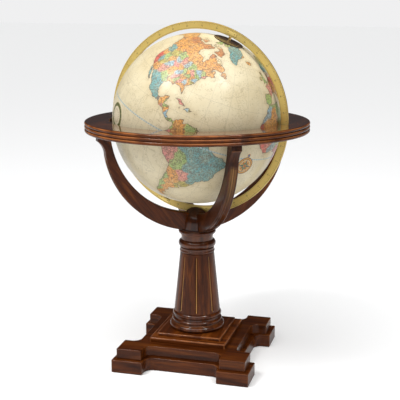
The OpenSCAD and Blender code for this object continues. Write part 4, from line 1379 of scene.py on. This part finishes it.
def half_ball(name, side):
    """A half shell spun about the pole axis, with the map's fields held at its vertices."""
    stop = math.acos(bushing_hole / ball_r)
    stop_in = math.acos(bushing_hole / shell_r)
    outer = [(ball_r * math.cos(stop * k / 135), ball_r * math.sin(stop * k / 135)) for k in range(136)]
    inner = [(shell_r * math.cos(stop_in * k / 12), shell_r * math.sin(stop_in * k / 12))
             for k in range(12, -1, -1)]
    shape = bmesh.new()
    loop = [shape.verts.new((r, 0, side * z)) for r, z in outer + inner]
    rim = [shape.edges.new((a, b)) for a, b in zip(loop, loop[1:] + loop[:1])]
    about = {"axis": (0, 0, 1), "cent": (0, 0, 0)}
    bmesh.ops.spin(shape, geom=loop + rim, angle=math.tau / 12, steps=45, **about)
    for twelfths, copies in ((1, 1), (2, 1), (8, 2)):
        bmesh.ops.spin(shape, geom=shape.verts[:] + shape.edges[:] + shape.faces[:],
                       angle=math.tau * twelfths / 12, steps=copies, use_duplicate=True, **about)
        bmesh.ops.remove_doubles(shape, verts=shape.verts, dist=1e-6)
    bmesh.ops.recalc_face_normals(shape, faces=shape.faces)
    half = add(name, shape)
    place = np.zeros(len(half.data.vertices) * 3)
    half.data.vertices.foreach_get("co", place)
    place = place.reshape(-1, 3)
    lat = np.degrees(np.arcsin(np.clip(place[:, 2] / np.linalg.norm(place, axis=1), -1, 1)))
    lon = np.degrees(np.arctan2(place[:, 1], place[:, 0])) + map_turn
    lon = (lon + 180) % 360 - 180
    for key, field in (("coast", coast), ("border", border)):
        held = half.data.attributes.new(key, "FLOAT", "POINT")
        held.data.foreach_set("value", sampled(field, lon, lat).astype(np.float32))
    held = half.data.attributes.new("tint", "FLOAT_COLOR", "POINT")
    colours = np.ones((len(lon), 4), np.float32)
    colours[:, :3] = sampled(tint, lon, lat)
    held.data.foreach_set("color", colours.ravel())
    half.data.transform(on_axis)
    return half


moulded = grained("moulded plastic", (0.022, 0.016, 0.012), (0.035, 0.026, 0.02), 900, 0.45)
for name in ("north_bushing", "south_bushing", "equator_band"):
    finish_node(name, moulded)
map_paper = printed_map()
for name, side in (("north", 1), ("south", -1)):
    half = half_ball(name + "_map_half", side)
    paint(half, map_paper)
    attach(half, "globe")
    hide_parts("globe_" + name + "_half")

# ---- Compass rose and wreath printed on the sea ----
# Two ornaments of the map: an eight-pointed compass rose with a small leaf at its north, and a wreath of
# leaves. Each is its own thin print laid on the ball's paper.

print_lift = 0.12 * mm
print_thick = 0.35 * mm


def printed_disc(name, lon, lat, spread, rings, spokes, ink_at, bend=None):
    """A round print on the ball, inked face by face and finished as a thin closed sheet."""
    shape = bmesh.new()
    ink_layer = shape.loops.layers.float_color.new("ink")
    bmesh.ops.create_circle(shape, cap_ends=True, cap_tris=True, segments=spokes, radius=rings[0])
    fresh_faces = shape.faces[:]
    rim = [edge for edge in shape.edges if edge.is_boundary]
    for number, reach in enumerate(rings):
        if number:
            grown = bmesh.ops.extrude_edge_only(shape, edges=rim)["geom"]
            outer = fresh_verts(grown)
            fresh_faces = [g for g in grown if isinstance(g, bmesh.types.BMFace)]
            wider = reach / rings[number - 1]
            bmesh.ops.scale(shape, vec=(wider, wider, 1), verts=outer)
            rim = [g for g in grown if isinstance(g, bmesh.types.BMEdge) and g.is_boundary]
        for face in fresh_faces:
            middle = face.calc_center_median()
            spoke = int(math.atan2(middle.x, middle.y) % math.tau / math.tau * spokes)
            for corner in face.loops:
                corner[ink_layer] = (*ink_at(number, spoke), 1)
    angle, turn = math.radians(lat), math.radians(lon - map_turn)
    facing = on_axis @ Matrix.Rotation(turn, 4, "Z") @ Matrix.Rotation(-angle, 4, "Y")
    for vert in shape.verts:
        reach = vert.co.length
        way = math.atan2(vert.co.x, vert.co.y) % math.tau
        if bend is not None and reach > 0:
            way = bend(reach, way * spokes / math.tau) * math.tau / spokes
        far = math.radians(spread) * reach
        out = Vector((math.cos(far), math.sin(far) * math.sin(way), math.sin(far) * math.cos(way)))
        vert.co = facing @ (out * (ball_r + print_lift))
    inward = (centre - facing @ Vector((ball_r, 0, 0))).normalized() * print_thick
    backing = bmesh.ops.extrude_face_region(shape, geom=shape.faces[:], use_keep_orig=True)["geom"]
    bmesh.ops.translate(shape, vec=inward, verts=fresh_verts(backing))
    bmesh.ops.recalc_face_normals(shape, faces=shape.faces)
    disc = add(name, shape)
    paint(disc, print_ink)
    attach(disc, "globe")
    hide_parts("globe_south_half")


print_ink, print_tree, print_shader = new_material("printed ornament")
printed = node(print_tree, "ShaderNodeAttribute", attribute_name="ink").outputs["Color"]
speckle = noise_on(print_tree, node(print_tree, "ShaderNodeTexCoord").outputs["Object"], 420)
aging = ramped(print_tree, speckle, 0.35, 0.75, 0.0, 0.4)
surface(print_tree, print_shader, mixed(print_tree, aging, printed, (0.22, 0.15, 0.08, 1)),
        ramped(print_tree, speckle, 0.3, 0.7, 0.38, 0.52), speckle, (0.1, 0.0003),
        {"Specular IOR Level": 0.3})

rose_rings = [0.10, 0.16, 0.24, 0.32, 0.40, 0.50, 0.60, 0.66, 0.72, 0.80, 0.86, 0.93, 1.0]
rose_inks = {"gold": (0.60, 0.29, 0.06), "dark": (0.055, 0.045, 0.05), "field": (0.62, 0.46, 0.24),
             "teal": (0.07, 0.22, 0.26), "red": (0.46, 0.07, 0.05), "leaf": (0.20, 0.30, 0.10)}


def rose_bend(reach, way):
    """Draws the spokes beside each point of the star in towards its tip."""
    sector, part = divmod(round(way), 8)
    if part not in (1, 7):
        return way
    tip = 0.82 if sector % 2 == (0 if part == 1 else 1) else 0.64
    narrow = 2.2 * (tip - reach) / reach
    narrow = max(0.3, min(3.0, narrow))
    return 8 * sector + (narrow if part == 1 else 8 - narrow)


def rose_ink(ring, spoke):
    """The colour of one cell of the rose: hub, star, field or rim."""
    sector, part = divmod(spoke, 8)
    long_point = (sector + (1 if part == 7 else 0)) % 2 == 0
    if ring < 2:
        return rose_inks["red" if ring == 0 else "gold"]
    if ring >= 9:
        return rose_inks["dark" if ring == 12 or ring == 9 and spoke % 2 else "gold"]
    if part in (0, 7) and ring < (9 if long_point else 7):
        halves = ("dark", "teal") if long_point else ("dark", "red")
        return rose_inks[halves[0] if part == 0 else halves[1]]
    return rose_inks["leaf" if ring < 5 else "gold" if ring < 7 else "field"]


printed_disc("compass_rose", -20.6, -5, 6.3, rose_rings, 64, rose_ink, rose_bend)

wreath_inks = {"leaf": (0.060, 0.080, 0.022), "olive": (0.19, 0.185, 0.055), "paper": (0.68, 0.60, 0.42),
               "brown": (0.30, 0.20, 0.10)}


def wreath_ink(ring, spoke):
    """The colour of one cell of the wreath: paper with brown specks, and leaves round it."""
    if ring < 4:
        return wreath_inks["brown" if ring == 2 and spoke % 3 == 0 else "paper"]
    if ring in (4, 7):
        return wreath_inks["leaf" if (spoke + ring) % 2 else "olive"]
    return wreath_inks["olive" if spoke % 4 == 1 else "leaf"]


printed_disc("rose_leaf", -20.6, 2.6, 1.3, [0.35, 0.7, 1.0], 20,
             lambda ring, spoke: (0.07, 0.16, 0.28) if ring < 2 else rose_inks["gold"])
printed_disc("wreath", -126, -11, 8.6, [0.2, 0.4, 0.55, 0.72, 0.79, 0.86, 0.93, 1.0], 60, wreath_ink)

# ---- Hour dial ----
# A thin domed disc of dark brown moulding lies on the ball round the north pole. It is marked with
# the hours, twelve twice over, in light gold, and it turns by hand.

dial_low = 203.3 * mm
dial_high = 204.8 * mm
dial_reach = 36 * mm
dial_hole = 1.65 * mm
hour_r = 27.5 * mm
hour_h = 4.4 * mm
tick_r = 34.6 * mm


def arc_line(radius, near, far, steps):
    """Points out along a dome from one distance off the axis to another."""
    line = []
    for k in range(steps + 1):
        reach = near + (far - near) * k / steps
        line.append((reach, math.sqrt(radius ** 2 - reach ** 2)))
    return line


top_line = arc_line(dial_high, dial_hole, dial_reach - 0.5 * mm, 14)
edge_z = math.sqrt(dial_high ** 2 - dial_reach ** 2)
low_line = arc_line(dial_low, dial_hole, dial_reach - 0.2 * mm, 14)
dial_line = top_line + [(dial_reach - 0.1 * mm, edge_z - 0.1 * mm), (dial_reach, edge_z - 0.45 * mm)]
dial_line += list(reversed(low_line))
dial_shape = turned(dial_line, 120)
dial_shape.transform(on_axis)
dial = add("hour_disc", dial_shape)
paint(dial, grained("dial brown", (0.028, 0.014, 0.007), (0.055, 0.028, 0.013), 160, 0.34))
dial.data.materials[0].node_tree.nodes["Principled BSDF"].inputs["Coat Weight"].default_value = 0.3
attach(dial, "hour_dial")
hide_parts("hour_dial")


def on_dial(place):
    """Lays a flat drawing on the dial's dome."""
    flat = place.xy
    out = math.sqrt(dial_high ** 2 - flat.length_squared) + place.z
    return on_axis @ Vector((flat.x, flat.y, out))


hours = bmesh.new()
for hour in range(24):
    turn = Matrix.Rotation(-math.tau * hour / 24, 4, "Z")
    spot = turn @ Matrix.Translation((0, hour_r, 0))
    numeral(hours, str((hour - 1) % 12 + 1), hour_h, proud * 2, lambda p: on_dial(spot @ p))
    for quarter_hour in range(4):
        lean = Matrix.Rotation(-math.tau * (hour + quarter_hour / 4) / 24, 4, "Z")
        long = 2.6 * mm if quarter_hour == 0 else 1.3 * mm
        tick = bmesh.new()
        bar(tick, lean @ Matrix.Translation((0, tick_r - long / 2, 0)), 0.35 * mm, long, proud * 2)
        for vert in tick.verts:
            vert.co = on_dial(vert.co)
        put_in(hours, tick)
bmesh.ops.recalc_face_normals(hours, faces=hours.faces)
hour_marks = add("hour_marks", hours)
paint(hour_marks, grained("dial gold", (0.52, 0.36, 0.13), (0.66, 0.48, 0.20), 800, 0.4, 0.4))
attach(hour_marks, "hour_dial")
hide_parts("hour_dial")

low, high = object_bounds()
